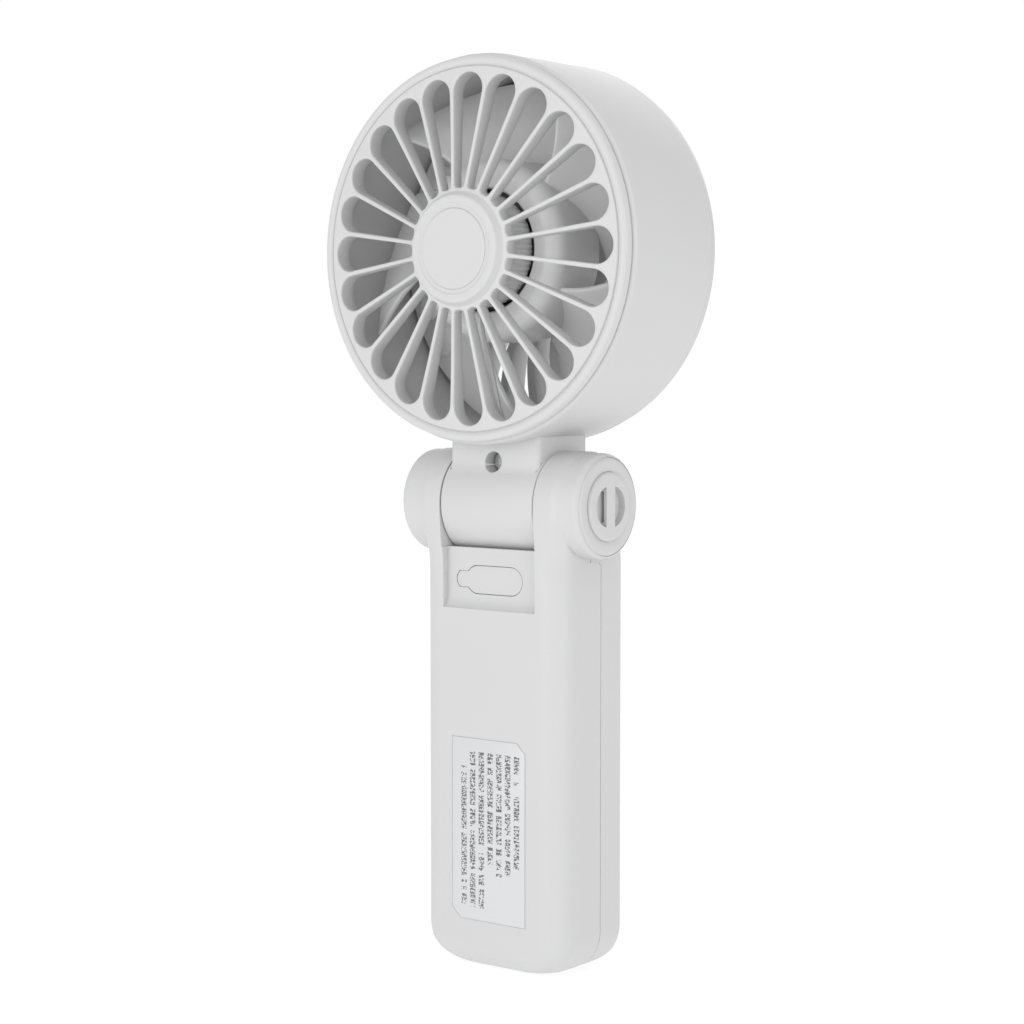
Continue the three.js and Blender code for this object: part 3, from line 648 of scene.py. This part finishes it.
# %% Hub
hub_outline = [
    (0, 2.2), (19.9, 2.2), (19.9, -10.0), (14.3, -11.7), (14.3, -12.7), (14.7, -13.1),
    *arc((17.2, -9.0), 4.1, -90, -2, 12), *arc((20.3, 2.8), 1.0, 0, 90, 4), (0, 3.8),
]
hub = lathe("hub", hub_outline, FAN, steps=120)
impeller = smooth(join_all([hub, blades]), 32)

# %% [markdown]
# ## The handle
# The handle is a bar with rounder edges at the back than at the front, a flat foot, and a top that
# follows the hinge barrel. It is a stack of rounded-rectangle sections: the formula gives each
# section's half width, its back and front, and its corner radii at that height.

# %% Sizes of the handle
HANDLE_HALF, BACK_Y, FRONT_Y = 21.2, -13.5, 13.5
FOOT_ROUND, BACK_ROUND, FRONT_ROUND = 10.0, 6.6, 4.5
KNUCKLE_R = 12.7
BACK_RUN, FRONT_RUN = 17, 14.5  # how far below the hinge each face starts to curve
CURVE_FROM, CURVE_RUN = 15.5, 13.5  # where the corners start to change, and over what length
TOP_CORNER_X, TOP_CORNER_Y = 3.0, 0.5
CORNER_STEPS = 8


def ease(t):
    t = min(1.0, max(0.0, t))
    return t * t * (3 - 2 * t)


def section(z, inset=0.0):
    """At height z: half width, back and front y, (x, y) radii of back and front corners, and
    how far the corners have changed from round arcs to S-curves."""

    def drop(radius):
        reach = max(0.0, radius - inset)
        short = max(0.0, reach - (z - inset))
        return reach - sqrt(max(0.0, reach**2 - short**2))

    half = HANDLE_HALF - inset - drop(FOOT_ROUND)
    back = BACK_Y + inset + drop(BACK_ROUND)
    front = FRONT_Y - inset - drop(FRONT_ROUND)
    up = z - HINGE_Z
    if up > 0:
        circle = sqrt(max(0.0, KNUCKLE_R**2 - up**2))
        back, front = HINGE_Y - circle, HINGE_Y + circle
    elif up > -BACK_RUN:
        back = BACK_Y + (HINGE_Y - KNUCKLE_R - BACK_Y) * ease((up + BACK_RUN) / BACK_RUN)
        front = FRONT_Y + (HINGE_Y + KNUCKLE_R - FRONT_Y) * ease((up + FRONT_RUN) / FRONT_RUN)
    curved = ease((up + CURVE_FROM) / CURVE_RUN)

    def corner(radius):
        rounded = max(0.3, radius - inset) * (1 - curved)
        depth = min(rounded + TOP_CORNER_Y * curved, (front - back) / 2 * 0.98)
        return rounded + TOP_CORNER_X * curved, depth

    return half, back, front, corner(BACK_ROUND), corner(FRONT_ROUND), curved


print("handle", 2 * HANDLE_HALF, "by", FRONT_Y - BACK_Y, "mm in section")

# %% [markdown]
# Every section has four corners of eight steps, so the sections stack into a grid. Its two ends are
# open rings, which are found as edges with one face and filled.

# %% Stack of sections
def section_point(z, i, inset=0.0):
    """Point i of the section's outline, anticlockwise from the middle of the right side."""
    half, back, front, back_corner, front_corner, curved = section(z, inset)
    corner = i // (CORNER_STEPS + 1)
    rx, ry = front_corner if corner < 2 else back_corner
    side = 1 if corner in (0, 3) else -1
    turn = radians(90 * corner + 90 * (i % (CORNER_STEPS + 1)) / CORNER_STEPS)
    drop = ry * ((1 - curved) * (1 - abs(sin(turn))) + curved * ease(abs(cos(turn))))
    y = front - drop if corner < 2 else back + drop
    return Vector((side * (half - rx) + rx * cos(turn), y, z))


def stack(name, heights, inset=0.0):
    around = 4 * (CORNER_STEPS + 1)
    piece = shaped_grid(
        name, around, len(heights) - 1,
        lambda i, j: section_point(heights[j], i % around, inset) * MM,
    )
    edit_all(piece)
    bpy.ops.mesh.remove_doubles(threshold=1e-6)
    bpy.ops.mesh.select_all(action="DESELECT")
    bpy.ops.mesh.select_non_manifold()
    bpy.ops.mesh.edge_face_add()
    tidy_mesh()
    return piece


foot_heights = [FOOT_ROUND - FOOT_ROUND * cos(radians(7.5 * k)) for k in range(13)]
mid_heights = [15 + 12 * k for k in range(6)]
hinge_heights = [HINGE_Z - 24 + 2 * k for k in range(13)]
crown_heights = [HINGE_Z + KNUCKLE_R * sin(radians(6 * k)) for k in range(1, 15)]
body = stack("handle_body", [*foot_heights, *mid_heights, *hinge_heights, *crown_heights])

# %% [markdown]
# ## Knuckles, barrel room and recess
# Two round knuckles stand out at the sides of the bar. The barrel turns in the room between them.
# Below it a shallow recess with a ramp at its lower end holds the charging port, and a second one
# at the front holds the lamp window.

# %% Knuckles
knuckle_outline = [
    (0, 14.5), (12.2, 14.5), (12.35, 20), *arc((10.8, 24.6), 1.55, 0, 62, 8), (11.5, 24.6), (0, 24.6),
]
right_knuckle = lathe("right_knuckle", knuckle_outline, HINGE, "X", 120)
left_knuckle = mirrored(right_knuckle, "left_knuckle", 0, 0)
combine(body, "UNION", right_knuckle, left_knuckle)

# %% Barrel room, recesses and bores
ROOM_R, CHEEK_IN, NECK_ROOM_DOWN = 13.2, 13.9, 10.4
room_outline = [(0, -CHEEK_IN), (ROOM_R, -CHEEK_IN), (ROOM_R, CHEEK_IN), (0, CHEEK_IN)]
barrel_room = lathe("room", room_outline, HINGE, "X", 96)
neck_room = block(
    "neck_room", (-CHEEK_IN, -30, HINGE_Z - NECK_ROOM_DOWN), (CHEEK_IN, 30, HINGE_Z + 30)
)
RECESS_HALF, RECESS_LOW, RECESS_HIGH = 13.6, 86.2, HINGE_Z - 9
FLOOR_Y, FRONT_FLOOR_Y = BACK_Y + 1.75, FRONT_Y - 2.4
RAMP_R, RAMP_TURN, FRONT_RAMP = 3.45, 60.5, 2.2
ramp_centre = (FLOOR_Y - RAMP_R, RECESS_LOW + RAMP_R * sin(radians(RAMP_TURN)))
back_profile = [
    (BACK_Y - 6, RECESS_LOW - 0.15), (BACK_Y - 0.08, RECESS_LOW - 0.15),
    *arc(ramp_centre, RAMP_R, -RAMP_TURN, 0, 10), (FLOOR_Y, RECESS_HIGH), (BACK_Y - 6, RECESS_HIGH),
]
back_recess = prism("back_recess", back_profile, "X", -RECESS_HALF, RECESS_HALF)
front_profile = [
    (FRONT_Y + 6, RECESS_LOW), (FRONT_Y, RECESS_LOW), (FRONT_FLOOR_Y, RECESS_LOW + FRONT_RAMP),
    (FRONT_FLOOR_Y, RECESS_HIGH), (FRONT_Y + 6, RECESS_HIGH),
]
front_recess = prism("front_recess", front_profile, "X", -RECESS_HALF, RECESS_HALF)
CAP_BORE_R, CAP_BORE_AT, AXLE_R = 8.4, 21.2, 3.8
bores_outline = [
    (0, -30), (CAP_BORE_R, -30), (CAP_BORE_R, -CAP_BORE_AT), (AXLE_R, -CAP_BORE_AT),
    (AXLE_R, CAP_BORE_AT), (CAP_BORE_R, CAP_BORE_AT), (CAP_BORE_R, 30), (0, 30),
]
bores = lathe("bores", bores_outline, HINGE, "X", 64)
combine(body, "DIFFERENCE", barrel_room, neck_room, back_recess, front_recess, bores)

# %% [markdown]
# The room inside is a smaller stack, and a block above it makes space for the circuit board behind
# the charging port. The walls are two millimetres thick.

# %% Room inside for the battery and the board
WALL = 2.0
cavity_foot = [FOOT_ROUND - (FOOT_ROUND - WALL) * cos(radians(15 * k)) for k in range(7)]
cavity = stack("cavity", [*cavity_foot, 20, 50, 84.2], WALL)
upper_cavity = block("upper_cavity", (-19.2, -10.1, 81), (19.2, 9.5, 95))
combine(cavity, "UNION", upper_cavity)
combine(body, "DIFFERENCE", cavity)

# %% [markdown]
# ## Seam between the two shells
# The handle is moulded as a rear and a front shell. The seam is a fine gap along both sides, which
# steps back under the knuckles to pass through the axle. Each half is the whole body cut by a
# block whose edge follows the seam.

# %% Split along the seam
SEAM_Y, SEAM_GAP, STEP_DOWN = 2.3, 0.16, 12.4


def seam_side(far, gap):
    """The (y, z) outline of all that lies on one side of the seam, out to far."""
    step = HINGE_Z - STEP_DOWN
    return [
        (far, -5), (SEAM_Y + gap, -5), (SEAM_Y + gap, step - 1.9), (SEAM_Y - 0.9 + gap, step - 1.0),
        (HINGE_Y + gap, step - 0.8), (HINGE_Y + gap, 150), (far, 150),
    ]


front_shell = copy_of(body, "front_shell_skin")
rear_shell = body
rear_shell.name = "rear_shell_skin"
combine(rear_shell, "INTERSECT", prism("behind", seam_side(-40, -SEAM_GAP / 2), "X", -40, 40))
combine(front_shell, "INTERSECT", prism("before", seam_side(40, SEAM_GAP / 2), "X", -40, 40))

# %% [markdown]
# ## Seats and holes
# Each small part sits in a seat that is a little larger, so a fine dark gap is left round it. One
# function draws the outline of both.

# %% Outlines of the port cover and the label
PORT_X, PORT_Z, PORT_HALF, PORT_R, TAB_R, TAB_X = 0.4, 93.1, 8.3, 3.3, 2.2, -8.6
TAB_MEET_Z = 1.95
LABEL_HALF, LABEL_LOW, LABEL_HIGH, LABEL_CUT = 10.8, 12.1, 55.5, 2.4


def cover_outline(grow, steps=12):
    """A pill in (x, z) with a smaller round tab at its left end."""
    radius, tab = PORT_R + grow, TAB_R + grow
    left = PORT_X - (PORT_HALF - PORT_R)
    meet_z = TAB_MEET_Z + grow * 0.4
    pill_angle = degrees(asin(meet_z / radius))
    tab_angle = degrees(asin(meet_z / tab))
    return [
        *arc((PORT_X + PORT_HALF - PORT_R, PORT_Z), radius, -90, 90, steps),
        *arc((left, PORT_Z), radius, 90, 180 - pill_angle, 6),
        *arc((TAB_X, PORT_Z), tab, 180 - tab_angle, 180 + tab_angle, steps),
        *arc((left, PORT_Z), radius, 180 + pill_angle, 270, 6),
    ]


def label_outline(grow):
    """An upright rectangle in (x, z) with two opposite corners cut off."""
    half, low, high = LABEL_HALF + grow, LABEL_LOW - grow, LABEL_HIGH + grow
    cut = LABEL_CUT + grow * 0.6
    return [
        (-half, high), (-half, low + cut), (cut - half, low),
        (half, low), (half, high - cut), (half - cut, high),
    ]


# %% Seats and holes
SEAT_GAP = 0.14
BUTTON_Z, BUTTON_R, BUTTON_GAP, WINDOW_Z = 78.6, 4.8, 0.2, 91.4
BUTTON_FOOT = Vector((0, 0, BUTTON_Z)) * MM

seat = prism("seat", cover_outline(SEAT_GAP), "Y", FLOOR_Y - 2, FLOOR_Y + 0.9)
port_hole = prism("port_hole", pill((PORT_X, PORT_Z), 5.2, 2.3), "Y", FLOOR_Y - 2, FLOOR_Y + 4)
label_seat = prism("label_seat", label_outline(SEAT_GAP), "Y", BACK_Y - 2, BACK_Y + 0.12)
combine(rear_shell, "DIFFERENCE", seat, port_hole, label_seat)
hole_r = BUTTON_R + BUTTON_GAP
button_hole = lathe("button_hole", [(0, 5), (hole_r, 5), (hole_r, 20), (0, 20)], BUTTON_FOOT, "Y", 64)
window_hole = prism(
    "window_hole", pill((0, WINDOW_Z), 5.15, 1.15), "Y", FRONT_FLOOR_Y - 4, FRONT_FLOOR_Y + 2
)
combine(front_shell, "DIFFERENCE", button_hole, window_hole)
smooth(rear_shell)
smooth(front_shell)

# %% [markdown]
# ## Small parts on the handle
# The port cover is a soft flap, flush in its seat, so only a fine gap shows its outline. The label is
# a thin printed film with two cut corners. The button is a shallow dish, and the lamp window a
# milky strip.

# %% Port cover
cover = prism("port_cover_skin", cover_outline(0), "Y", FLOOR_Y, FLOOR_Y + 0.6)
bevel_edges(cover, lambda a, b: max(a.y, b.y) < (FLOOR_Y + 0.01) * MM, 0.18, 3)
plug = prism("plug", pill((PORT_X, PORT_Z), 4.7, 1.8), "Y", FLOOR_Y + 0.5, FLOOR_Y + 1.8)
combine(cover, "UNION", plug)
smooth(cover)

# %% Label film
label = prism("label_skin", label_outline(0), "Y", BACK_Y - 0.1, BACK_Y + 0.11)
bevel_edges(label, lambda a, b: max(a.y, b.y) < (BACK_Y - 0.09) * MM, 0.06, 2)
smooth(label)

# %% Button and lamp window
button_face = FRONT_Y + 0.8
button_outline = [
    (0, 10.2), (BUTTON_R + 0.5, 10.2), (BUTTON_R + 0.5, 11.1), (BUTTON_R, 11.1),
    *arc((BUTTON_R - 0.6, button_face - 0.6), 0.6, 0, 90, 5),
    (3.6, button_face - 0.05), (2.4, button_face - 0.3), (0, button_face - 0.42),
]
button = smooth(lathe("power_button_skin", button_outline, BUTTON_FOOT, "Y", 64))
window_outline = pill((0, WINDOW_Z), 5.0, 1.0)
window = prism("window_skin", window_outline, "Y", FRONT_FLOOR_Y - 2.4, FRONT_FLOOR_Y - 0.05)
bevel_edges(window, lambda a, b: min(a.y, b.y) > (FRONT_FLOOR_Y - 0.06) * MM, 0.2, 3)
smooth(window)

# %% [markdown]
# ## Hinge caps and the lanyard eyelet
# Each knuckle is closed by a round cap. The right cap is a ring around an eyelet: a raised disc with
# two half-round slots and a bar between them, behind which a wrist cord can be looped.

# %% Caps
cap_edge = [(11.46, 24.9), (11.46, 25.86), *arc((10.5, 25.4), 0.98, 34, 88, 5), (9.2, 26.36), (8.6, 26.2)]
right_cap = lathe("right_cap_skin", [(8.16, 24.9), *cap_edge, (8.16, 26.1)], HINGE, "X", 96)
left_outline = [(0, 23.4), (8.1, 23.4), (8.1, 24.9), *cap_edge, (8.2, 26.2), (7.8, 26.34), (0, 26.38)]
left_drawn = lathe("left_cap_drawn", left_outline, HINGE, "X", 96)
left_cap = mirrored(left_drawn, "left_cap_skin", 0, 0)
bpy.data.objects.remove(left_drawn)
smooth(right_cap)
smooth(left_cap)

# %% Eyelet
eyelet_outline = [(0, 23.4), (8.1, 23.4), *arc((7.3, 26.16), 0.8, 0, 78, 5), (6.6, 26.93), (0, 26.97)]
eyelet = lathe("eyelet_skin", eyelet_outline, HINGE, "X", 96)
moon = prism("moon", arc((0.95, 0), 4.75, -81, 81, 16), "X", 25.2, 28, HINGE)
other_moon = mirrored(moon, "other_moon", 1, HINGE.y)
behind_bar = block("behind_bar", (25.2, HINGE_Y - 2, HINGE_Z - 3.6), (26.15, HINGE_Y + 2, HINGE_Z + 3.6))
combine(eyelet, "DIFFERENCE", moon, other_moon, behind_bar)
smooth(eyelet)

# %% [markdown]
# ## Riding and replacing
# Each finished piece moves with its body and stands for its plain solid in the model.

# %% Attach the pieces
ATTACHED = [
    (head_shell, "head", "shell_plastic", ["head_shell"]),
    (rear_grille, "head", "shell_plastic", ["rear_grille"]),
    (front_grille, "head", "shell_plastic", ["front_grille"]),
    (rear_boss, "head", "shell_plastic", ["rear_boss_disc"]),
    (front_boss, "head", "shell_plastic", ["front_boss_disc"]),
    (impeller, "impeller", "impeller_plastic", ["impeller"]),
    (rear_shell, "handle", "shell_plastic", ["rear_shell"]),
    (front_shell, "handle", "shell_plastic", ["front_shell"]),
    (right_cap, "handle", "shell_plastic", ["hinge_cap_right"]),
    (left_cap, "handle", "shell_plastic", ["hinge_cap_left"]),
    (eyelet, "handle", "shell_plastic", ["lanyard_eyelet"]),
    (label, "handle", "label_film", ["rating_label"]),
    (window, "handle", "clear_plastic", ["indicator_window"]),
    (cover, "port_cover", "silicone", ["port_cover"]),
    (button, "power_button", "shell_plastic", ["power_button"]),
]
for piece, body_name, slot_name, nodes in ATTACHED:
    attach(piece, body_name)
    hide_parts(*nodes)
print(len(ATTACHED), "pieces attached")

# %% [markdown]
# ## Materials
# The whole fan is one warm-white plastic with a fine satin texture. What keeps such a surface from
# looking like paper is small: a grain a third of a millimetre wide that breaks up the highlight and
# varies the gloss, and a slow drift in tone. One group makes those signals from Object coordinates,
# and each material uses it with its own values.

# %% Helpers for node trees
def feed(tree, node, values):
    """Gives inputs of a node a constant or the output of another node."""
    for name, value in values.items():
        if isinstance(value, bpy.types.NodeSocket):
            tree.links.new(value, node.inputs[name])
        else:
            node.inputs[name].default_value = value


def add_node(tree, kind, values=None, **settings):
    node = tree.nodes.new(kind)
    for name, setting in settings.items():
        setattr(node, name, setting)
    feed(tree, node, values or {})
    return node


def maths(tree, operation, *values):
    """The result of a Math node."""
    node = add_node(tree, "ShaderNodeMath", dict(enumerate(values)), operation=operation)
    return node.outputs["Value"]


# %% Shared group: moulded grain
COLOUR, NUMBER = "NodeSocketColor", "NodeSocketFloat"
GRAIN_SOCKETS = [
    ("INPUT", "Base", COLOUR), ("INPUT", "Tone Drift", NUMBER), ("INPUT", "Roughness Low", NUMBER),
    ("INPUT", "Roughness High", NUMBER), ("INPUT", "Grain Scale", NUMBER),
    ("OUTPUT", "Color", COLOUR), ("OUTPUT", "Roughness", NUMBER), ("OUTPUT", "Height", NUMBER),
]
DRIFT_SCALE = 38


def moulded_grain():
    """Colour, roughness and height that vary over a moulded plastic surface."""
    group = bpy.data.node_groups.new("moulded grain", "ShaderNodeTree")
    for in_out, name, kind in GRAIN_SOCKETS:
        group.interface.new_socket(name, in_out=in_out, socket_type=kind)
    given = add_node(group, "NodeGroupInput").outputs
    place = add_node(group, "ShaderNodeTexCoord").outputs["Object"]
    drift_values = {"Vector": place, "Scale": DRIFT_SCALE, "Detail": 4}
    drift = add_node(group, "ShaderNodeTexNoise", drift_values).outputs["Fac"]
    grain_values = {"Vector": place, "Scale": given["Grain Scale"], "Detail": 3}
    grain = add_node(group, "ShaderNodeTexNoise", grain_values).outputs["Fac"]
    change = maths(group, "MULTIPLY", maths(group, "SUBTRACT", drift, 0.5), given["Tone Drift"])
    tint = add_node(group, "ShaderNodeMix", data_type="RGBA", blend_type="MULTIPLY")
    feed(group, tint, {"Factor": 1, "A": given["Base"], "B": maths(group, "ADD", change, 1.0)})
    gloss = add_node(group, "ShaderNodeMapRange", {
        "Value": grain, "From Min": 0.3, "From Max": 0.7,
        "To Min": given["Roughness Low"], "To Max": given["Roughness High"],
    })
    add_node(group, "NodeGroupOutput", {
        "Color": tint.outputs["Result"], "Roughness": gloss.outputs["Result"], "Height": grain,
    })
    return group


GRAIN = moulded_grain()
print("group", GRAIN.name, "with", len(GRAIN_SOCKETS), "sockets")

# %% [markdown]
# A finish is then a base colour, a range of roughness and the size of the grain. A Bump node tilts
# the highlight by the grain's height without changing the mesh.

# %% A plastic that uses the group
def new_material(name):
    material = bpy.data.materials.new(name)
    material.use_nodes = True
    tree = material.node_tree
    shader = next(node for node in tree.nodes if node.type == "BSDF_PRINCIPLED")
    return material, tree, shader


def grain_outputs(tree, base, rough, drift, scale):
    """The shared group's outputs, with this material's values."""
    node = add_node(tree, "ShaderNodeGroup", node_tree=GRAIN)
    feed(tree, node, {
        "Base": (*base, 1), "Tone Drift": drift,
        "Roughness Low": rough[0], "Roughness High": rough[1], "Grain Scale": scale,
    })
    return node.outputs


def grained(name, base, rough, drift=0.03, grain_mm=0.3, height=0.02, metallic=0.0, specular=0.5):
    material, tree, shader = new_material(name)
    grain = grain_outputs(tree, base, rough, drift, 1 / (grain_mm * MM))
    bump_values = {"Strength": 0.6, "Distance": height * MM, "Height": grain["Height"]}
    bump = add_node(tree, "ShaderNodeBump", bump_values)
    feed(tree, shader, {
        "Base Color": grain["Color"], "Roughness": grain["Roughness"], "Normal": bump.outputs["Normal"],
        "Metallic": metallic, "Specular IOR Level": specular,
    })
    return material


# %% Finishes
WHITE = (0.60, 0.60, 0.602)
SMOOTH_WHITE, SOFT_WHITE = (0.69, 0.69, 0.693), (0.61, 0.61, 0.612)
FINISHES = {
    "shell_plastic": grained("satin white plastic", WHITE, (0.40, 0.50)),
    "impeller_plastic": grained(
        "smooth white plastic", SMOOTH_WHITE, (0.32, 0.40), grain_mm=0.5, height=0.008),
    "silicone": grained(
        "matt white silicone", SOFT_WHITE, (0.55, 0.66), grain_mm=0.2, height=0.03, specular=0.35),
    "clear_plastic": grained(
        "milky window", (0.50, 0.52, 0.54), (0.10, 0.16), grain_mm=1.5, height=0.004),
    "steel": grained("bright steel", (0.56, 0.57, 0.58), (0.22, 0.36), 0.10, 0.25, 0.006, 1.0),
    "brass": grained("turned brass", (0.66, 0.48, 0.22), (0.25, 0.38), 0.12, 0.3, 0.006, 1.0),
    "copper_winding": grained("varnished winding", (0.44, 0.40, 0.38), (0.28, 0.42), 0.30, 0.6, 0.10),
    "magnet": grained("grey ferrite", (0.16, 0.16, 0.165), (0.45, 0.60), 0.20, 0.3, 0.02),
    "board": grained("green board", (0.02, 0.12, 0.06), (0.30, 0.42), 0.20, 0.8, 0.02),
    "black_plastic": grained("black plastic", (0.035, 0.035, 0.037), (0.40, 0.52), 0.15, 0.3, 0.02),
    "acetal": grained("natural acetal", (0.72, 0.71, 0.66), (0.30, 0.40), 0.04, 0.5, 0.01),
    "cell_sleeve": grained("blue cell sleeve", (0.03, 0.13, 0.30), (0.25, 0.36), 0.10, 1.2, 0.03),
    "foam": grained("grey foam", (0.05, 0.05, 0.052), (0.80, 0.95), 0.30, 0.35, 0.25, specular=0.2),
    "red_wire": grained("red wire sleeve", (0.40, 0.02, 0.015), (0.40, 0.50), 0.10, 0.6, 0.02),
    "black_wire": grained("white wire sleeve", (0.62, 0.62, 0.62), (0.40, 0.50), 0.10, 0.6, 0.02),
}
print(len(FINISHES), "finishes")

# %% [markdown]
# ## Printed label
# The film is a little bluer and smoother than the plastic. Its print is seven rows of small grey
# marks that run along the handle. They are plain cells of varied darkness, so they read as small
# print from afar and spell nothing.

# %% Masks for the print
ROW_PITCH, ROWS_LEFT, ROW_FILLED = 2.62, -8.6, 0.62
MARK_PITCH, MARK_FILLED, MARKS_LEFT_OUT = 0.86, 0.84, 0.13
STROKE_ROWS, STROKES_LEFT_OUT = 0.13, 0.38
PRINT_MARGIN, FIRST_ROW_DROP, SHORT_ROW_FROM, SHORTER_BY, SHORTER_MORE = 3.0, 3.8, 2.5, 7.5, 7


def random_of(tree, first, second):
    """A value between 0 and 1 that stays the same for the same two cell numbers."""
    where = add_node(tree, "ShaderNodeCombineXYZ", {"X": first, "Y": second}).outputs["Vector"]
    noise = add_node(tree, "ShaderNodeTexWhiteNoise", noise_dimensions="2D")
    feed(tree, noise, {"Vector": where})
    return noise.outputs["Value"]


def stripes(tree, along, pitch, start, filled):
    """Cell number along an axis, and a mask that is 1 in the filled part of each cell."""
    place_in = maths(tree, "DIVIDE", maths(tree, "SUBTRACT", along, start * MM), pitch * MM)
    fraction = maths(tree, "FRACT", place_in)
    return maths(tree, "FLOOR", place_in), maths(tree, "COMPARE", fraction, 0.5, filled / 2)


def row_ends(tree, row_number):
    """Where a row starts and ends. The first starts lower, and later ones end sooner."""
    first_row = maths(tree, "LESS_THAN", row_number, 0.5)
    drop = maths(tree, "MULTIPLY", first_row, FIRST_ROW_DROP * MM)
    top = maths(tree, "SUBTRACT", (LABEL_HIGH - PRINT_MARGIN) * MM, drop)
    is_short = maths(tree, "GREATER_THAN", row_number, SHORT_ROW_FROM)
    chance = random_of(tree, row_number, row_number)
    shorter = maths(tree, "MULTIPLY_ADD", chance, SHORTER_MORE * MM, SHORTER_BY * MM)
    shorter = maths(tree, "MULTIPLY", is_short, shorter)
    return top, maths(tree, "ADD", shorter, (LABEL_LOW + PRINT_MARGIN) * MM)


# %% Label material
FILM, FILM_ROUGH, FILM_DRIFT, FILM_GRAIN = (0.635, 0.64, 0.655), (0.30, 0.36), 0.02, 1500
INK, INK_STRENGTH = (0.06, 0.06, 0.065, 1), 0.85


def label_material():
    material, tree, shader = new_material("printed film")
    grain = grain_outputs(tree, FILM, FILM_ROUGH, FILM_DRIFT, FILM_GRAIN)
    place = add_node(tree, "ShaderNodeTexCoord").outputs["Object"]
    split = add_node(tree, "ShaderNodeSeparateXYZ", {"Vector": place})
    across, down = split.outputs["X"], split.outputs["Z"]
    row_number, in_row = stripes(tree, across, ROW_PITCH, ROWS_LEFT, ROW_FILLED)
    mark_number, in_mark = stripes(tree, down, MARK_PITCH, 0, MARK_FILLED)
    small_row, _ = stripes(tree, across, ROW_PITCH * STROKE_ROWS, ROWS_LEFT, 1)
    small_mark, _ = stripes(tree, down, MARK_PITCH / 3, 0, 1)
    mark_chance = random_of(tree, row_number, mark_number)
    stroke_chance = random_of(tree, small_row, small_mark)
    top, low = row_ends(tree, row_number)
    masks = [
        maths(tree, "COMPARE", row_number, 3.0, 3.4),
        in_mark,
        maths(tree, "GREATER_THAN", mark_chance, MARKS_LEFT_OUT),
        maths(tree, "GREATER_THAN", stroke_chance, STROKES_LEFT_OUT),
        maths(tree, "LESS_THAN", down, top),
        maths(tree, "GREATER_THAN", down, low),
    ]
    ink = in_row
    for mask in masks:
        ink = maths(tree, "MULTIPLY", ink, mask)
    printed = add_node(tree, "ShaderNodeMix", data_type="RGBA")
    strength = maths(tree, "MULTIPLY", ink, INK_STRENGTH)
    feed(tree, printed, {"Factor": strength, "A": grain["Color"], "B": INK})
    feed(tree, shader, {"Base Color": printed.outputs["Result"], "Roughness": grain["Roughness"]})
    return material


FINISHES["label_film"] = label_material()

# %% Give every piece and every node its finish
node_slots = {part["node"]: part["material_slot"] for part in frame["record"]["subparts"]}
for node_name, node in frame["nodes"].items():
    node.data.materials.clear()
    node.data.materials.append(FINISHES[node_slots[node_name]])
for piece, _, slot_name, _ in ATTACHED:
    piece.data.materials.clear()
    piece.data.materials.append(FINISHES[slot_name])
print("finishes given to", len(node_slots), "nodes and", len(ATTACHED), "pieces")

# %% [markdown]
# ## Floor and light
# A white product on a white ground is lit almost evenly from all sides, so that only soft grey tones
# draw its shape. The world gives that light. The camera sees it as pure white, but it shines less,
# which leaves room for the lamps.

# %% World
LIGHT_LEVEL, SEEN_LEVEL = 0.68, 1.0
world = bpy.data.worlds.new("studio")
bpy.context.scene.world = world
world.use_nodes = True
background = next(node for node in world.node_tree.nodes if node.type == "BACKGROUND")
sky = world.node_tree
is_seen = add_node(sky, "ShaderNodeLightPath").outputs["Is Camera Ray"]
level_values = {"Value": is_seen, "To Min": LIGHT_LEVEL, "To Max": SEEN_LEVEL}
level = add_node(sky, "ShaderNodeMapRange", level_values).outputs["Result"]
feed(sky, background, {"Color": (1, 1, 1, 1), "Strength": level})
bpy.context.scene.view_settings.view_transform = "Standard"

# %% [markdown]
# The floor is a large pale plane that glows, so it stays white and takes only a faint shadow.

# %% Floor
FLOOR_SIZE, FLOOR_GREY, FLOOR_GLOW = 60, 0.4, 0.70
deselect()
bpy.ops.mesh.primitive_plane_add(size=FLOOR_SIZE, location=(0, 0, 0))
floor = bpy.context.object
floor.name = "floor"
floor_finish, floor_tree, floor_shader = new_material("pale floor")
feed(floor_tree, floor_shader, {
    "Base Color": (FLOOR_GREY, FLOOR_GREY, FLOOR_GREY, 1), "Roughness": 0.9,
    "Emission Color": (1, 1, 1, 1), "Emission Strength": FLOOR_GLOW,
})
floor.data.materials.append(floor_finish)

# %% [markdown]
# Four large soft lamps draw the form: the key in front of the label side, the fill to the right, one
# behind and one above.

# %% Lamps
LAMP_DISTANCE = 1.2
LAMPS = [
    ("key", (-0.15, -1.0, 0.25), 0.9, 4.2),
    ("fill", (1.0, -0.35, 0.1), 0.9, 3.0),
    ("behind", (-0.4, 1.0, 0.5), 0.9, 2.8),
    ("top", (0.4, 0.1, 1.0), 0.7, 1.4),
]
for name, direction, size, watts in LAMPS:
    lamp = bpy.data.objects.new(name, bpy.data.lights.new(name, "AREA"))
    lamp.data.shape = "DISK"
    lamp.data.size = size
    lamp.data.energy = watts
    lamp.location = AIM + Vector(direction).normalized() * LAMP_DISTANCE
    lamp.rotation_euler = (AIM - lamp.location).to_track_quat("-Z", "Y").to_euler()
    bpy.context.scene.collection.objects.link(lamp)
print(len(LAMPS), "lamps")
